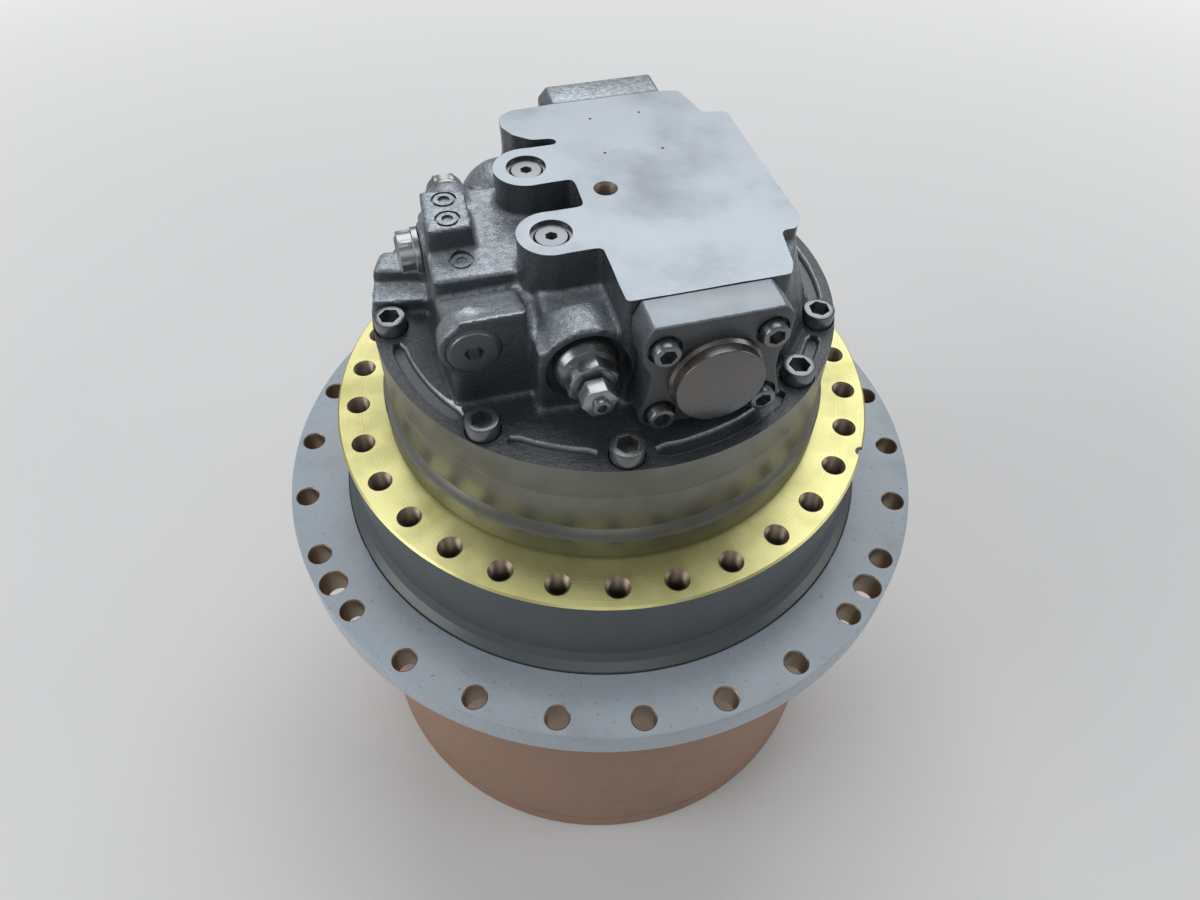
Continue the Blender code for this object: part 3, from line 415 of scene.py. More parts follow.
# Painted highlight: the upper bevel of the grooves between the flange bolts is painted pale.
CAST_HIGHLIGHT_EDGE = RoughCast(
    "cast_worn_edge", (0.05, 0.057, 0.064), (0.60, 0.66, 0.72), 0.26, 700.0, 0.0002,
    painted_sheen_from=0.5272, painted_sheen_full=0.5292)
MILLED = Metal(
    "milled_plate", (0.36, 0.40, 0.44), 0.4, Grain.MILLED, 0.7, 0.00004,
    (0.21, 0.235, 0.26), 0.45, HEAD_TURN)
CAP_FACE = Metal("milled_cap", (0.29, 0.32, 0.35), 0.42, Grain.MILLED, 0.7, 0.00004,
                 (0.18, 0.20, 0.22), 0.4, HEAD_TURN)
GOLD = Metal("pale_yellow_face", (0.69, 0.66, 0.31), 0.37, Grain.TURNED, 0.85, 0.00009,
             (0.38, 0.35, 0.12), 0.4, lines_per_metre=620.0, contrast=0.3)
CASE_STEEL = Metal("turned_case", (0.22, 0.22, 0.195), 0.3, Grain.TURNED, 0.8, 0.00005,
                   (0.10, 0.09, 0.065), 0.4)
HOLE_STEEL = Metal("drilled_hole", (0.30, 0.24, 0.18), 0.42, Grain.PLAIN, 0.8, 0.0001,
                   (0.14, 0.09, 0.05), 0.4)
BOLT_STEEL = Metal("oxide_bolt", (0.23, 0.24, 0.25), 0.27, Grain.PLAIN, 0.85, 0.00002,
                   (0.10, 0.09, 0.08), 0.3)
BRIGHT_STEEL = Metal("bright_steel", (0.40, 0.415, 0.43), 0.3, Grain.PLAIN, 0.85, 0.000006,
                     (0.25, 0.24, 0.21), 0.2)
PLUG_STEEL = Metal("plug_steel", (0.27, 0.29, 0.31), 0.4, Grain.TURNED, 0.8, 0.00002,
                   (0.16, 0.15, 0.13), 0.3)
BOSS_STEEL = Metal("boss_steel", (0.16, 0.165, 0.17), 0.27, Grain.PLAIN, 0.8, 0.00001,
                   (0.36, 0.20, 0.11), 0.25)
GEAR_STEEL = Metal("gear_steel", (0.43, 0.44, 0.46), 0.27, Grain.PLAIN, 0.95, 0.00002,
                   (0.30, 0.26, 0.20), 0.15)
RACE_STEEL = Metal("race_steel", (0.66, 0.67, 0.69), 0.16, Grain.TURNED, 1.0, 0.00001,
                   (0.45, 0.43, 0.38), 0.08)
BRONZE = Metal("bronze", (0.60, 0.40, 0.17), 0.32, Grain.TURNED, 0.95, 0.00003,
               (0.30, 0.18, 0.08), 0.2)
LINING = Coat("friction_lining", (0.20, 0.155, 0.11), 0.8, peel_scale=700.0,
              peel_depth=0.0003, specks=0.4)


def mesh_object(name: str, shape: bmesh.types.BMesh) -> bpy.types.Object:
    """Turn a shape into a linked object, with its faces pointing out.

    Args:
        name: the object's name.
        shape: the shape, which is freed.

    Returns:
        The new object.
    """
    bmesh.ops.recalc_face_normals(shape, faces=shape.faces)
    mesh = bpy.data.meshes.new(name)
    shape.to_mesh(mesh)
    shape.free()
    made = bpy.data.objects.new(name, mesh)
    bpy.context.scene.collection.objects.link(made)
    return made


def filleted(corners: list[Triple], steps: int = 4) -> list[Pair]:
    """Round the corners of a closed profile.

    Args:
        corners: (radius, height, fillet) for each corner, in order.
        steps: the pieces that each round corner gets.

    Returns:
        The points of the rounded profile.
    """
    points: list[Pair] = []
    count = len(corners)
    for index, (x, z, size) in enumerate(corners):
        here = Vector((x, z))
        if size <= 0.0:
            points.append((x, z))
            continue
        before = (Vector(corners[index - 1][:2]) - here).normalized()
        after = (Vector(corners[(index + 1) % count][:2]) - here).normalized()
        half = before.angle(after) / 2
        reach = size / math.tan(half)
        centre = here + (before + after).normalized() * (size / math.sin(half))
        start = (here + before * reach - centre).normalized()
        end = (here + after * reach - centre).normalized()
        for step in range(steps + 1):
            arm = start.slerp(end, step / steps) * size
            points.append((centre.x + arm.x, centre.y + arm.y))
    return points


def turned(name: str, profile: list[Pair], steps: int = 144) -> bpy.types.Object:
    """Turn a closed profile about the axis.

    Args:
        name: the object's name.
        profile: (radius, height) points, in order.
        steps: how many pieces go round.

    Returns:
        The closed solid.
    """
    shape = bmesh.new()
    rings: list[list[bmesh.types.BMVert]] = []
    for radius, height in profile:
        if radius < 1e-7:
            rings.append([shape.verts.new((0.0, 0.0, height))] * steps)
            continue
        rings.append([
            shape.verts.new((radius * math.cos(math.tau * n / steps),
                             radius * math.sin(math.tau * n / steps), height))
            for n in range(steps)])
    for ring, following in zip(rings, rings[1:] + rings[:1]):
        for n in range(steps):
            after = (n + 1) % steps
            corners = [ring[n], ring[after], following[after], following[n]]
            unique = list(dict.fromkeys(corners))
            if len(unique) > 2:
                shape.faces.new(unique)
    return mesh_object(name, shape)


def lofted(name: str, sections: list[list[Triple]]) -> bpy.types.Object:
    """Join outlines of equal length into one closed solid.

    Args:
        name: the object's name.
        sections: the outlines, from one end to the other.

    Returns:
        The closed solid.
    """
    shape = bmesh.new()
    rings = [[shape.verts.new(point) for point in section] for section in sections]
    count = len(rings[0])
    for ring, following in zip(rings, rings[1:]):
        for n in range(count):
            after = (n + 1) % count
            shape.faces.new((ring[n], ring[after], following[after], following[n]))
    shape.faces.new(rings[0])
    shape.faces.new(list(reversed(rings[-1])))
    return mesh_object(name, shape)


def prism(name: str, outline: list[Pair], low: float, high: float,
          flare: float = 0.0) -> bpy.types.Object:
    """Raise an outline into an upright block.

    Args:
        name: the object's name.
        outline: the corners, seen from above.
        low: the height of its foot.
        high: the height of its top.
        flare: how much wider the foot is than the top.

    Returns:
        The closed solid.
    """
    middle = Vector((sum(p[0] for p in outline), sum(p[1] for p in outline))) / len(outline)
    foot = []
    for x, y in outline:
        away = Vector((x, y)) - middle
        grown = middle + away * (1.0 + flare / max(away.length, 1e-6))
        foot.append((grown.x, grown.y, low))
    return lofted(name, [foot, [(x, y, high) for x, y in outline]])


def rod(name: str, centre: Triple, way: Triple, radius: float, length: float, steps: int = 48,
        far_radius: float | None = None) -> bpy.types.Object:
    """Make a cylinder or cone.

    Args:
        name: the object's name.
        centre: its middle.
        way: the direction of its axis.
        radius: its radius.
        length: its length.
        steps: how many pieces go round.
        far_radius: the radius at the far end, where it is a cone.

    Returns:
        The closed solid.
    """
    shape = bmesh.new()
    aim = Vector(way).to_track_quat("Z", "Y").to_matrix().to_4x4()
    bmesh.ops.create_cone(
        shape, cap_ends=True, segments=steps, radius1=radius,
        radius2=radius if far_radius is None else far_radius, depth=length,
        matrix=Matrix.Translation(centre) @ aim)
    return mesh_object(name, shape)


def ball(name: str, centre: Triple, size: Triple) -> bpy.types.Object:
    """Make a stretched ball.

    Args:
        name: the object's name.
        centre: its middle.
        size: its three half widths.

    Returns:
        The closed solid.
    """
    shape = bmesh.new()
    bmesh.ops.create_uvsphere(
        shape, u_segments=32, v_segments=18, radius=1.0,
        matrix=Matrix.Translation(centre) @ Matrix.Diagonal((*size, 1.0)))
    return mesh_object(name, shape)


def paint(piece: bpy.types.Object, material: bpy.types.Material) -> bpy.types.Object:
    """Give the whole piece one material.

    Args:
        piece: the piece.
        material: its material.

    Returns:
        The same piece.
    """
    piece.data.materials.clear()
    piece.data.materials.append(material)
    for face in piece.data.polygons:
        face.material_index = 0
    return piece


def settled(piece: bpy.types.Object) -> bpy.types.Object:
    """Apply a piece's modifiers and its place to its mesh.

    Args:
        piece: the piece.

    Returns:
        The same piece, with a plain mesh.
    """
    bpy.context.view_layer.update()
    graph = bpy.context.evaluated_depsgraph_get()
    mesh = bpy.data.meshes.new_from_object(piece.evaluated_get(graph))
    mesh.transform(piece.matrix_world)
    piece.modifiers.clear()
    piece.data = mesh
    piece.matrix_world = Matrix.Identity(4)
    return piece


def united(name: str, pieces: list[bpy.types.Object]) -> bpy.types.Object:
    """Put several pieces into one mesh.

    Args:
        name: the name of the result.
        pieces: the pieces, which are used up.

    Returns:
        One object with all their faces and materials.
    """
    materials: list[bpy.types.Material] = []
    shape = bmesh.new()
    for piece in pieces:
        start = len(shape.faces)
        numbers = []
        for material in piece.data.materials:
            if material not in materials:
                materials.append(material)
            numbers.append(materials.index(material))
        mesh = piece.data.copy()
        mesh.transform(piece.matrix_world)
        shape.from_mesh(mesh)
        shape.faces.ensure_lookup_table()
        for face in shape.faces[start:]:
            face.material_index = numbers[face.material_index] if numbers else 0
        bpy.data.objects.remove(piece)
    mesh = bpy.data.meshes.new(name)
    shape.to_mesh(mesh)
    shape.free()
    made = bpy.data.objects.new(name, mesh)
    bpy.context.scene.collection.objects.link(made)
    for material in materials:
        mesh.materials.append(material)
    return made


def carve(piece: bpy.types.Object, tool: bpy.types.Object,
          how: str = "DIFFERENCE") -> bpy.types.Object:
    """Cut, join or intersect a piece with a tool, whose material stays on the cut.

    Args:
        piece: the piece.
        tool: the tool, which is used up.
        how: the name of the Boolean operation.

    Returns:
        The same piece, changed.
    """
    step = piece.modifiers.new("carve", "BOOLEAN")
    step.operation = how
    step.solver = "EXACT"
    step.material_mode = "TRANSFER"
    step.object = tool
    settled(piece)
    bpy.data.objects.remove(tool)
    return piece


def smooth(piece: bpy.types.Object, degrees: float = 32.0) -> bpy.types.Object:
    """Shade a piece smooth and keep its edges sharp.

    Args:
        piece: the piece.
        degrees: the angle from which an edge counts as sharp.

    Returns:
        The same piece.
    """
    piece.data.shade_smooth()
    piece.data.set_sharp_from_angle(angle=math.radians(degrees))
    return piece


def bevelled(piece: bpy.types.Object, width: float, segments: int = 2,
             degrees: float = 35.0) -> bpy.types.Object:
    """Round a piece's sharp edges.

    Args:
        piece: the piece.
        width: the width of the rounding.
        segments: how many faces it gets.
        degrees: the angle from which an edge is rounded.

    Returns:
        The same piece.
    """
    step = piece.modifiers.new("edges", "BEVEL")
    step.width = width
    step.segments = segments
    step.limit_method = "ANGLE"
    step.angle_limit = math.radians(degrees)
    step.harden_normals = False
    return settled(piece)


def on_head(piece: bpy.types.Object) -> bpy.types.Object:
    """Turn a piece from the valve block's axes to the drive's."""
    piece.data.transform(Matrix.Rotation(HEAD_TURN, 4, "Z"))
    return piece


def head_places(places: list[Triple]) -> list[Triple]:
    """Turn places from the valve block's axes to the drive's.

    Args:
        places: the places.

    Returns:
        The turned places.
    """
    spin = Matrix.Rotation(HEAD_TURN, 3, "Z")
    return [tuple(spin @ Vector(place)) for place in places]


def fasten(piece: bpy.types.Object, body: str, slot: str, *nodes: str) -> bpy.types.Object:
    """Put a finished piece on its body in place of its nodes.

    Args:
        piece: the finished piece.
        body: the body that it moves with.
        slot: its material slot in the record; not used.
        *nodes: the nodes that it replaces.

    Returns:
        The same piece.
    """
    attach(piece, body)
    if nodes:
        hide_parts(*nodes)
    LOG.info("%s rides on %s, %d faces", piece.name, body, len(piece.data.polygons))
    return piece


class Pattern(NodeTools):
    """A node tree that repeats one piece and gives the copies one finish."""

    def __init__(self, name: str, inputs: dict[str, str]) -> None:
        """Start the tree with its named inputs.

        Args:
            name: the tree's name.
            inputs: the kind of each further input, by its name.
        """
        self.tree = bpy.data.node_groups.new(name, "GeometryNodeTree")
        kinds = {"Geometry": "Geometry", "Piece": "Object", **inputs, "Finish": "Material"}
        for label, kind in kinds.items():
            self.tree.interface.new_socket(label, in_out="INPUT", socket_type="NodeSocket" + kind)
        self.tree.interface.new_socket(
            "Geometry", in_out="OUTPUT", socket_type="NodeSocketGeometry")
        self.given = self.tree.nodes.new("NodeGroupInput").outputs

    def copy_onto(self, points: Socket, turn: Socket) -> None:
        """Put a copy of the piece on each point and end the tree.

        Args:
            points: the geometry whose points get a copy.
            turn: each copy's angle about the upright axis.
        """
        facing = self.node("ShaderNodeCombineXYZ", {"Z": turn})
        source = self.node("GeometryNodeObjectInfo", {0: self.given["Piece"]})
        copies = self.node("GeometryNodeInstanceOnPoints", {
            "Points": points, "Instance": source.outputs["Geometry"],
            "Rotation": facing.outputs[0]})
        real = self.node("GeometryNodeRealizeInstances", {0: copies.outputs[0]})
        coat = self.node("GeometryNodeSetMaterial", {
            "Geometry": real.outputs[0], "Material": self.given["Finish"]})
        self.node("NodeGroupOutput", {0: coat.outputs[0]})

    def run(self, name: str, mesh: bpy.types.Mesh, values: dict[str, object]) -> bpy.types.Object:
        """Run the tree and keep the result as a plain mesh.

        Args:
            name: the name of the result.
            mesh: the mesh that the tree starts from.
            values: the inputs' values by name; the piece among them is used up.

        Returns:
            The object with all the copies.
        """
        made = bpy.data.objects.new(name, mesh)
        bpy.context.scene.collection.objects.link(made)
        step = made.modifiers.new("pattern", "NODES")
        step.node_group = self.tree
        for item in self.tree.interface.items_tree:
            if item.item_type == "SOCKET" and item.in_out == "INPUT" and item.name in values:
                step[item.identifier] = values[item.name]
        settled(made)
        bpy.data.objects.remove(values["Piece"])
        return made


class CirclePattern(Pattern):
    """Repeats a piece on a circle about the axis."""

    def __init__(self) -> None:
        """Build the tree."""
        super().__init__("pieces_on_a_circle", {
            "Count": "Int", "Circle Radius": "Float", "First Angle": "Float", "Height": "Float"})
        given = self.given
        circle = self.node("GeometryNodeMeshCircle", {
            "Vertices": given["Count"], "Radius": given["Circle Radius"]})
        lift = self.node("ShaderNodeCombineXYZ", {"Z": given["Height"]})
        turn = self.node("ShaderNodeCombineXYZ", {"Z": given["First Angle"]})
        points = self.node("GeometryNodeTransform", {
            "Geometry": circle.outputs[0], "Translation": lift.outputs[0],
            "Rotation": turn.outputs[0]})
        step = self.calc("DIVIDE", math.tau, given["Count"])
        spin = self.calc("MULTIPLY", self.node("GeometryNodeInputIndex").outputs[0], step)
        self.copy_onto(points.outputs[0], self.calc("ADD", spin, given["First Angle"]))

    def repeat(self, name: str, piece: bpy.types.Object, count: int, radius: float,
               first: float, height: float, material: bpy.types.Material) -> bpy.types.Object:
        """Repeat a piece on a circle.

        Args:
            name: the name of the result.
            piece: the piece, built about the origin with +X pointing away from the axis.
            count: how many.
            radius: the circle's radius.
            first: the angle of the first one.
            height: the circle's height.
            material: the finish of all of them.

        Returns:
            A plain mesh object.
        """
        return self.run(name, bpy.data.meshes.new(name), {
            "Piece": piece, "Count": count, "Circle Radius": radius, "First Angle": first,
            "Height": height, "Finish": material})


class PointPattern(Pattern):
    """Puts a piece on each of a few places."""

    def __init__(self) -> None:
        """Build the tree."""
        super().__init__("pieces_at_points", {"Turn Each": "Float"})
        index = self.node("GeometryNodeInputIndex").outputs[0]
        self.copy_onto(self.given["Geometry"],
                       self.calc("MULTIPLY", index, self.given["Turn Each"]))

    def repeat(self, name: str, piece: bpy.types.Object, places: list[Triple], turn_each: float,
               material: bpy.types.Material) -> bpy.types.Object:
        """Put a copy of the piece at each place.

        Args:
            name: the name of the result.
            piece: the piece, built about the origin.
            places: where the copies go.
            turn_each: how much further each copy is turned than the one before.
            material: the finish of all of them.

        Returns:
            A plain mesh object.
        """
        mesh = bpy.data.meshes.new(name)
        mesh.from_pydata(places, [], [])
        return self.run(name, mesh, {"Piece": piece, "Turn Each": turn_each, "Finish": material})


CIRCLE = CirclePattern()
POINTS = PointPattern()


def hole_tool(radius: float, low: float, high: float, chamfer: float,
              steps: int = 32) -> bpy.types.Object:
    """Make the cutter of one hole with chamfered mouths, about the origin.

    Args:
        radius: the hole's radius.
        low: the height of its lower mouth.
        high: the height of its upper mouth.
        chamfer: the size of the chamfers.
        steps: how many pieces go round.

    Returns:
        The cutter.
    """
    over = 6 * MM
    wide = radius + chamfer + over
    return turned("hole_tool", [
        (0.0, high + over), (wide, high + over), (radius, high - chamfer),
        (radius, low + chamfer), (wide, low - over), (0.0, low - over)], steps)


def threaded_tool(radius: float, low: float, high: float, pitch: float,
                  chamfer: float) -> bpy.types.Object:
    """Make the cutter of one threaded hole, its thread shown as close grooves.

    Args:
        radius: the thread's outer radius.
        low: the height of the hole's floor.
        high: the height of its mouth.
        pitch: the distance between grooves.
        chamfer: the size of the mouth's chamfer.

    Returns:
        The cutter.
    """
    over = 6 * MM
    profile = [(0.0, high + over), (radius + chamfer + over, high + over), (radius, high - chamfer)]
    level = high - chamfer - pitch / 2
    inner = radius - 0.55 * pitch
    while level > low + pitch:
        profile.append((inner, level))
        profile.append((radius, level - pitch / 2))
        level -= pitch
    profile += [(inner, low), (0.0, low - radius * 0.5)]
    return turned("thread_tool", profile, 24)


@dataclass
class SprocketHub:
    """The turning hub: drum, grey sprocket flange and the toothed ring inside."""

    flange_radius: float = 287.5 * MM
    flange_low: float = 316 * MM
    flange_top: float = 344 * MM
    drum_radius: float = 249 * MM
    joint: float = 25.3 * MM
    hole_circle: float = 273 * MM
    holes: int = 26
    hole_radius: float = 9.4 * MM
    first_hole: float = math.radians(0.66)
    dowel_radius: float = 11.25 * MM
    dowel_angles: tuple[float, float] = (math.radians(-144.65), math.radians(-33.9))
    seat_radius: float = 236 * MM

    def build(self) -> None:
        """Turn the hub, drill it and dress it."""
        profile = filleted([
            (self.flange_radius, self.flange_top, 1.2 * MM),
            (self.flange_radius, self.flange_low, 1.2 * MM),
            (self.drum_radius, self.flange_low, 3.5 * MM),
            (self.drum_radius, self.joint + 2.4 * MM, 0.6 * MM),
            (self.drum_radius - 2.4 * MM, self.joint, 0.3 * MM),
            (220.2 * MM, self.joint, 0.0),
            at(220.2, 34, 0),
            at(218.5, 34, 0),
            at(218.5, 176, 0),
            at(220.2, 176, 0),
            at(220.2, 248.3, 0),
            at(207, 248.3, 0),
            at(207, 263.7, 0),
            at(220.2, 263.7, 0),
            at(220.2, 307, 0),
            (self.seat_radius, 307 * MM, 0.0),
            (self.seat_radius, self.flange_top, 0.8 * MM)])
        hub = paint(turned("sprocket_hub_fine", profile, 180), finish(SATIN_GREY))
        hub.data.materials.append(finish(BROWN_REFLECTION_PAINT))
        hub.data.materials.append(finish(CASE_STEEL))
        for face in hub.data.polygons:
            radius = math.hypot(face.center.x, face.center.y)
            if radius < 235.5 * MM:
                face.material_index = 2
            elif face.center.z < self.flange_low - 1 * MM:
                face.material_index = 1
        holes = CIRCLE.repeat(
            "hub_holes", hole_tool(self.hole_radius, self.flange_low, self.flange_top, 1.0 * MM),
            self.holes, self.hole_circle, self.first_hole, 0.0, finish(HOLE_STEEL))
        dowels = POINTS.repeat(
            "hub_dowel_holes",
            hole_tool(self.dowel_radius, self.flange_low, self.flange_top, 1.0 * MM),
            spots(self.hole_circle, self.dowel_angles), 0.0, finish(HOLE_STEEL))
        carve(hub, united("hub_tools", [holes, dowels]))
        smooth(hub)
        fasten(hub, TURNING, "painted_hub", "sprocket_hub")
        self.build_ring_gear()

    def build_ring_gear(self) -> None:
        """Make the inner teeth that both planetary stages run in."""
        gear = Gearing()
        ring = gear.ring("ring_gear_fine", 34 * MM, 176 * MM, 219.4 * MM)
        paint(ring, finish(GEAR_STEEL))
        smooth(ring)
        fasten(ring, TURNING, "gear_steel")


@dataclass
class GearCover:
    """The cover under the drum, with its countersunk screws and two plugs."""

    radius: float = 249 * MM
    top: float = 25 * MM
    screws: int = 12
    screw_circle: float = 231 * MM
    first_screw: float = math.radians(9)
    screw_radius: float = 9 * MM
    screw_foot: float = 12.9 * MM
    plug_radius: float = 13 * MM

    def build(self) -> None:
        """Turn the cover, drill it and dress it."""
        profile = filleted([
            (0.0, 29.8 * MM, 0.0), at(218.6, 29.8, 0), (218.6 * MM, self.top, 0.0),
            (self.radius - 1.2 * MM, self.top, 0.3 * MM),
            (self.radius, self.top - 1.2 * MM, 0.3 * MM), (self.radius, 0.0, 3 * MM),
            at(200, 0, 2), at(194, 7, 3), (0.0, 7 * MM, 0.0)])
        cover = paint(turned("gear_cover_fine", profile, 180), finish(BROWN_REFLECTION_PAINT))
        self.drill(cover)
        smooth(cover)
        fasten(cover, TURNING, "primer_drum", "gear_cover")
        self.fill_pockets()

    def drill(self, cover: bpy.types.Object) -> None:
        """Cut the screw pockets and the two plug holes.

        Args:
            cover: the cover.
        """
        pocket = rod("pocket_tool", (0.0, 0.0, 4 * MM), Z_WAY, self.screw_radius + 1 * MM, 18 * MM, 32)
        pockets = CIRCLE.repeat("cover_pockets", pocket, self.screws, self.screw_circle,
                                self.first_screw, 0.0, finish(HOLE_STEEL))
        thread = rod("plug_tool", (0.0, 0.0, 15 * MM), Z_WAY, self.plug_radius, 50 * MM, 32)
        threads = POINTS.repeat(
            "cover_plug_holes", thread, mm((150, 0, 0), (-75, 130, 0)), 0.0,
            finish(HOLE_STEEL))
        carve(cover, united("cover_tools", [pockets, threads]))

    def fill_pockets(self) -> None:
        """Fill the pockets with socket heads."""
        head = socket_head("cover_screw", self.screw_radius, 10 * MM, 0.9 * MM)
        head.data.transform(Matrix.Rotation(math.pi, 4, "X"))
        heads = CIRCLE.repeat("cover_screws", head, self.screws, self.screw_circle,
                              self.first_screw, self.screw_foot, finish(BOLT_STEEL))
        smooth(heads)
        fasten(heads, TURNING, "black_bolts")


def hexagon(across: float, start: float = 0.0) -> list[Pair]:
    """Give a hexagon's corners.

    Args:
        across: its width across flats.
        start: the angle of its first corner.

    Returns:
        Its six corners.
    """
    reach = across / math.sqrt(3)
    return [(reach * math.cos(start + math.pi * n / 3), reach * math.sin(start + math.pi * n / 3))
            for n in range(6)]


def socket_head(name: str, radius: float, height: float, chamfer: float,
                shank: float = 0.0) -> bpy.types.Object:
    """Make a socket screw's head, standing on the origin.

    Args:
        name: the object's name.
        radius: the head's radius.
        height: the head's height.
        chamfer: the size of its rounded upper edge.
        shank: how far a thin shank reaches below, or nothing.

    Returns:
        The head with its hexagon socket cut.
    """
    profile = [(0.0, height), (radius * 0.66, height), (radius - chamfer, height),
               (radius - chamfer * 0.35, height - chamfer * 0.3), (radius, height - chamfer),
               (radius, 0.3 * MM), (radius - 0.3 * MM, 0.0)]
    if shank:
        profile += [(radius * 0.6, 0.0), (radius * 0.6, -shank), (0.0, -shank)]
    else:
        profile += [(0.0, 0.0)]
    head = turned(name, profile, 40)
    across = radius * 1.17
    socket = prism(name + "_socket", hexagon(across), height * 0.42, height * 1.5)
    cone = rod(name + "_lead", (0.0, 0.0, height), Z_WAY, across * 0.42, 1.6 * MM + across * 0.1,
               32, across * 0.66)
    cone.data.transform(Matrix.Translation((0.0, 0.0, across * 0.05)))
    carve(head, socket)
    carve(head, cone)
    return head


@dataclass
class SpindleHousing:
    """The fixed spindle: painted wall, pale frame flange, spigot and motor case."""

    flange_radius: float = 227.7 * MM
    face: float = 432 * MM
    wall_radius: float = 225.5 * MM
    spigot_radius: float = 185.4 * MM
    spigot_top: float = 456 * MM
    case_radius: float = 180 * MM
    case_top: float = 499.8 * MM
    hole_circle: float = 210 * MM
    holes: int = 30
    first_hole: float = math.radians(-2.2)
    thread_radius: float = 8.8 * MM
    thread_depth: float = 34 * MM
    thread_pitch: float = 2 * MM
    notch_angle: float = math.radians(-20)

    def build(self) -> None:
        """Turn the spindle, tap its holes and dress it."""
        profile = filleted([
            (self.case_radius, self.case_top, 0.6 * MM),
            (self.case_radius, 463 * MM, 2 * MM),
            (self.spigot_radius - 3 * MM, 460 * MM, 0.0),
            (self.spigot_radius - 1.2 * MM, 456.6 * MM, 1 * MM),
            (self.spigot_radius, self.spigot_top - 2 * MM, 0.6 * MM),
            (self.spigot_radius, 434.5 * MM, 0.5 * MM),
            (self.spigot_radius - 1.8 * MM, 434 * MM, 0.3 * MM),
            (self.spigot_radius - 1.8 * MM, self.face, 0.3 * MM),
            (self.flange_radius - 1.6 * MM, self.face, 0.0),
            (self.flange_radius, self.face - 1.6 * MM, 0.0),
            (self.flange_radius, self.face - 3.2 * MM, 0.3 * MM),
            (self.wall_radius, self.face - 4.4 * MM, 1 * MM),
            (self.wall_radius - 0.6 * MM, 358 * MM, 5 * MM),
            at(229, 350.5, 2),
            at(235.3, 345.8, 0.8),
            at(235.3, 338, 0),
            at(206, 338, 0),
            at(183, 304.4, 0),
            at(169.9, 304.4, 0),
            at(169.9, 194, 0),
            at(48.2, 194, 0),
            at(48.2, 286, 0),
            at(128.4, 286, 0),
            (128.4 * MM, self.case_top, 0.0)])
        spindle = paint(turned("spindle_fine", profile, 180), finish(CASE_STEEL))
        spindle.data.materials.append(finish(GOLD))
        spindle.data.materials.append(finish(WALL_GREY))
        for face in spindle.data.polygons:
            radius = math.hypot(face.center.x, face.center.y)
            if face.center.z > self.face - 1.9 * MM and radius > self.spigot_radius - 1 * MM:
                if face.center.z < self.face + 1 * MM:
                    face.material_index = 1
            elif radius > 200 * MM and face.center.z > 337 * MM:
                face.material_index = 2
        taps = CIRCLE.repeat(
            "frame_holes_tool",
            threaded_tool(self.thread_radius, self.face - self.thread_depth, self.face,
                          self.thread_pitch, 1.0 * MM),
            self.holes, self.hole_circle, self.first_hole, 0.0, finish(HOLE_STEEL))
        place = spots(self.flange_radius - 0.5 * MM, [self.notch_angle], 425 * MM)[0]
        notch = paint(rod("notch_tool", place, Z_WAY, 5 * MM, 30 * MM, 24), finish(HOLE_STEEL))
        carve(spindle, united("spindle_tools", [taps, notch]))
        smooth(spindle)
        fasten(spindle, FIXED, "spindle_steel", "spindle_housing")


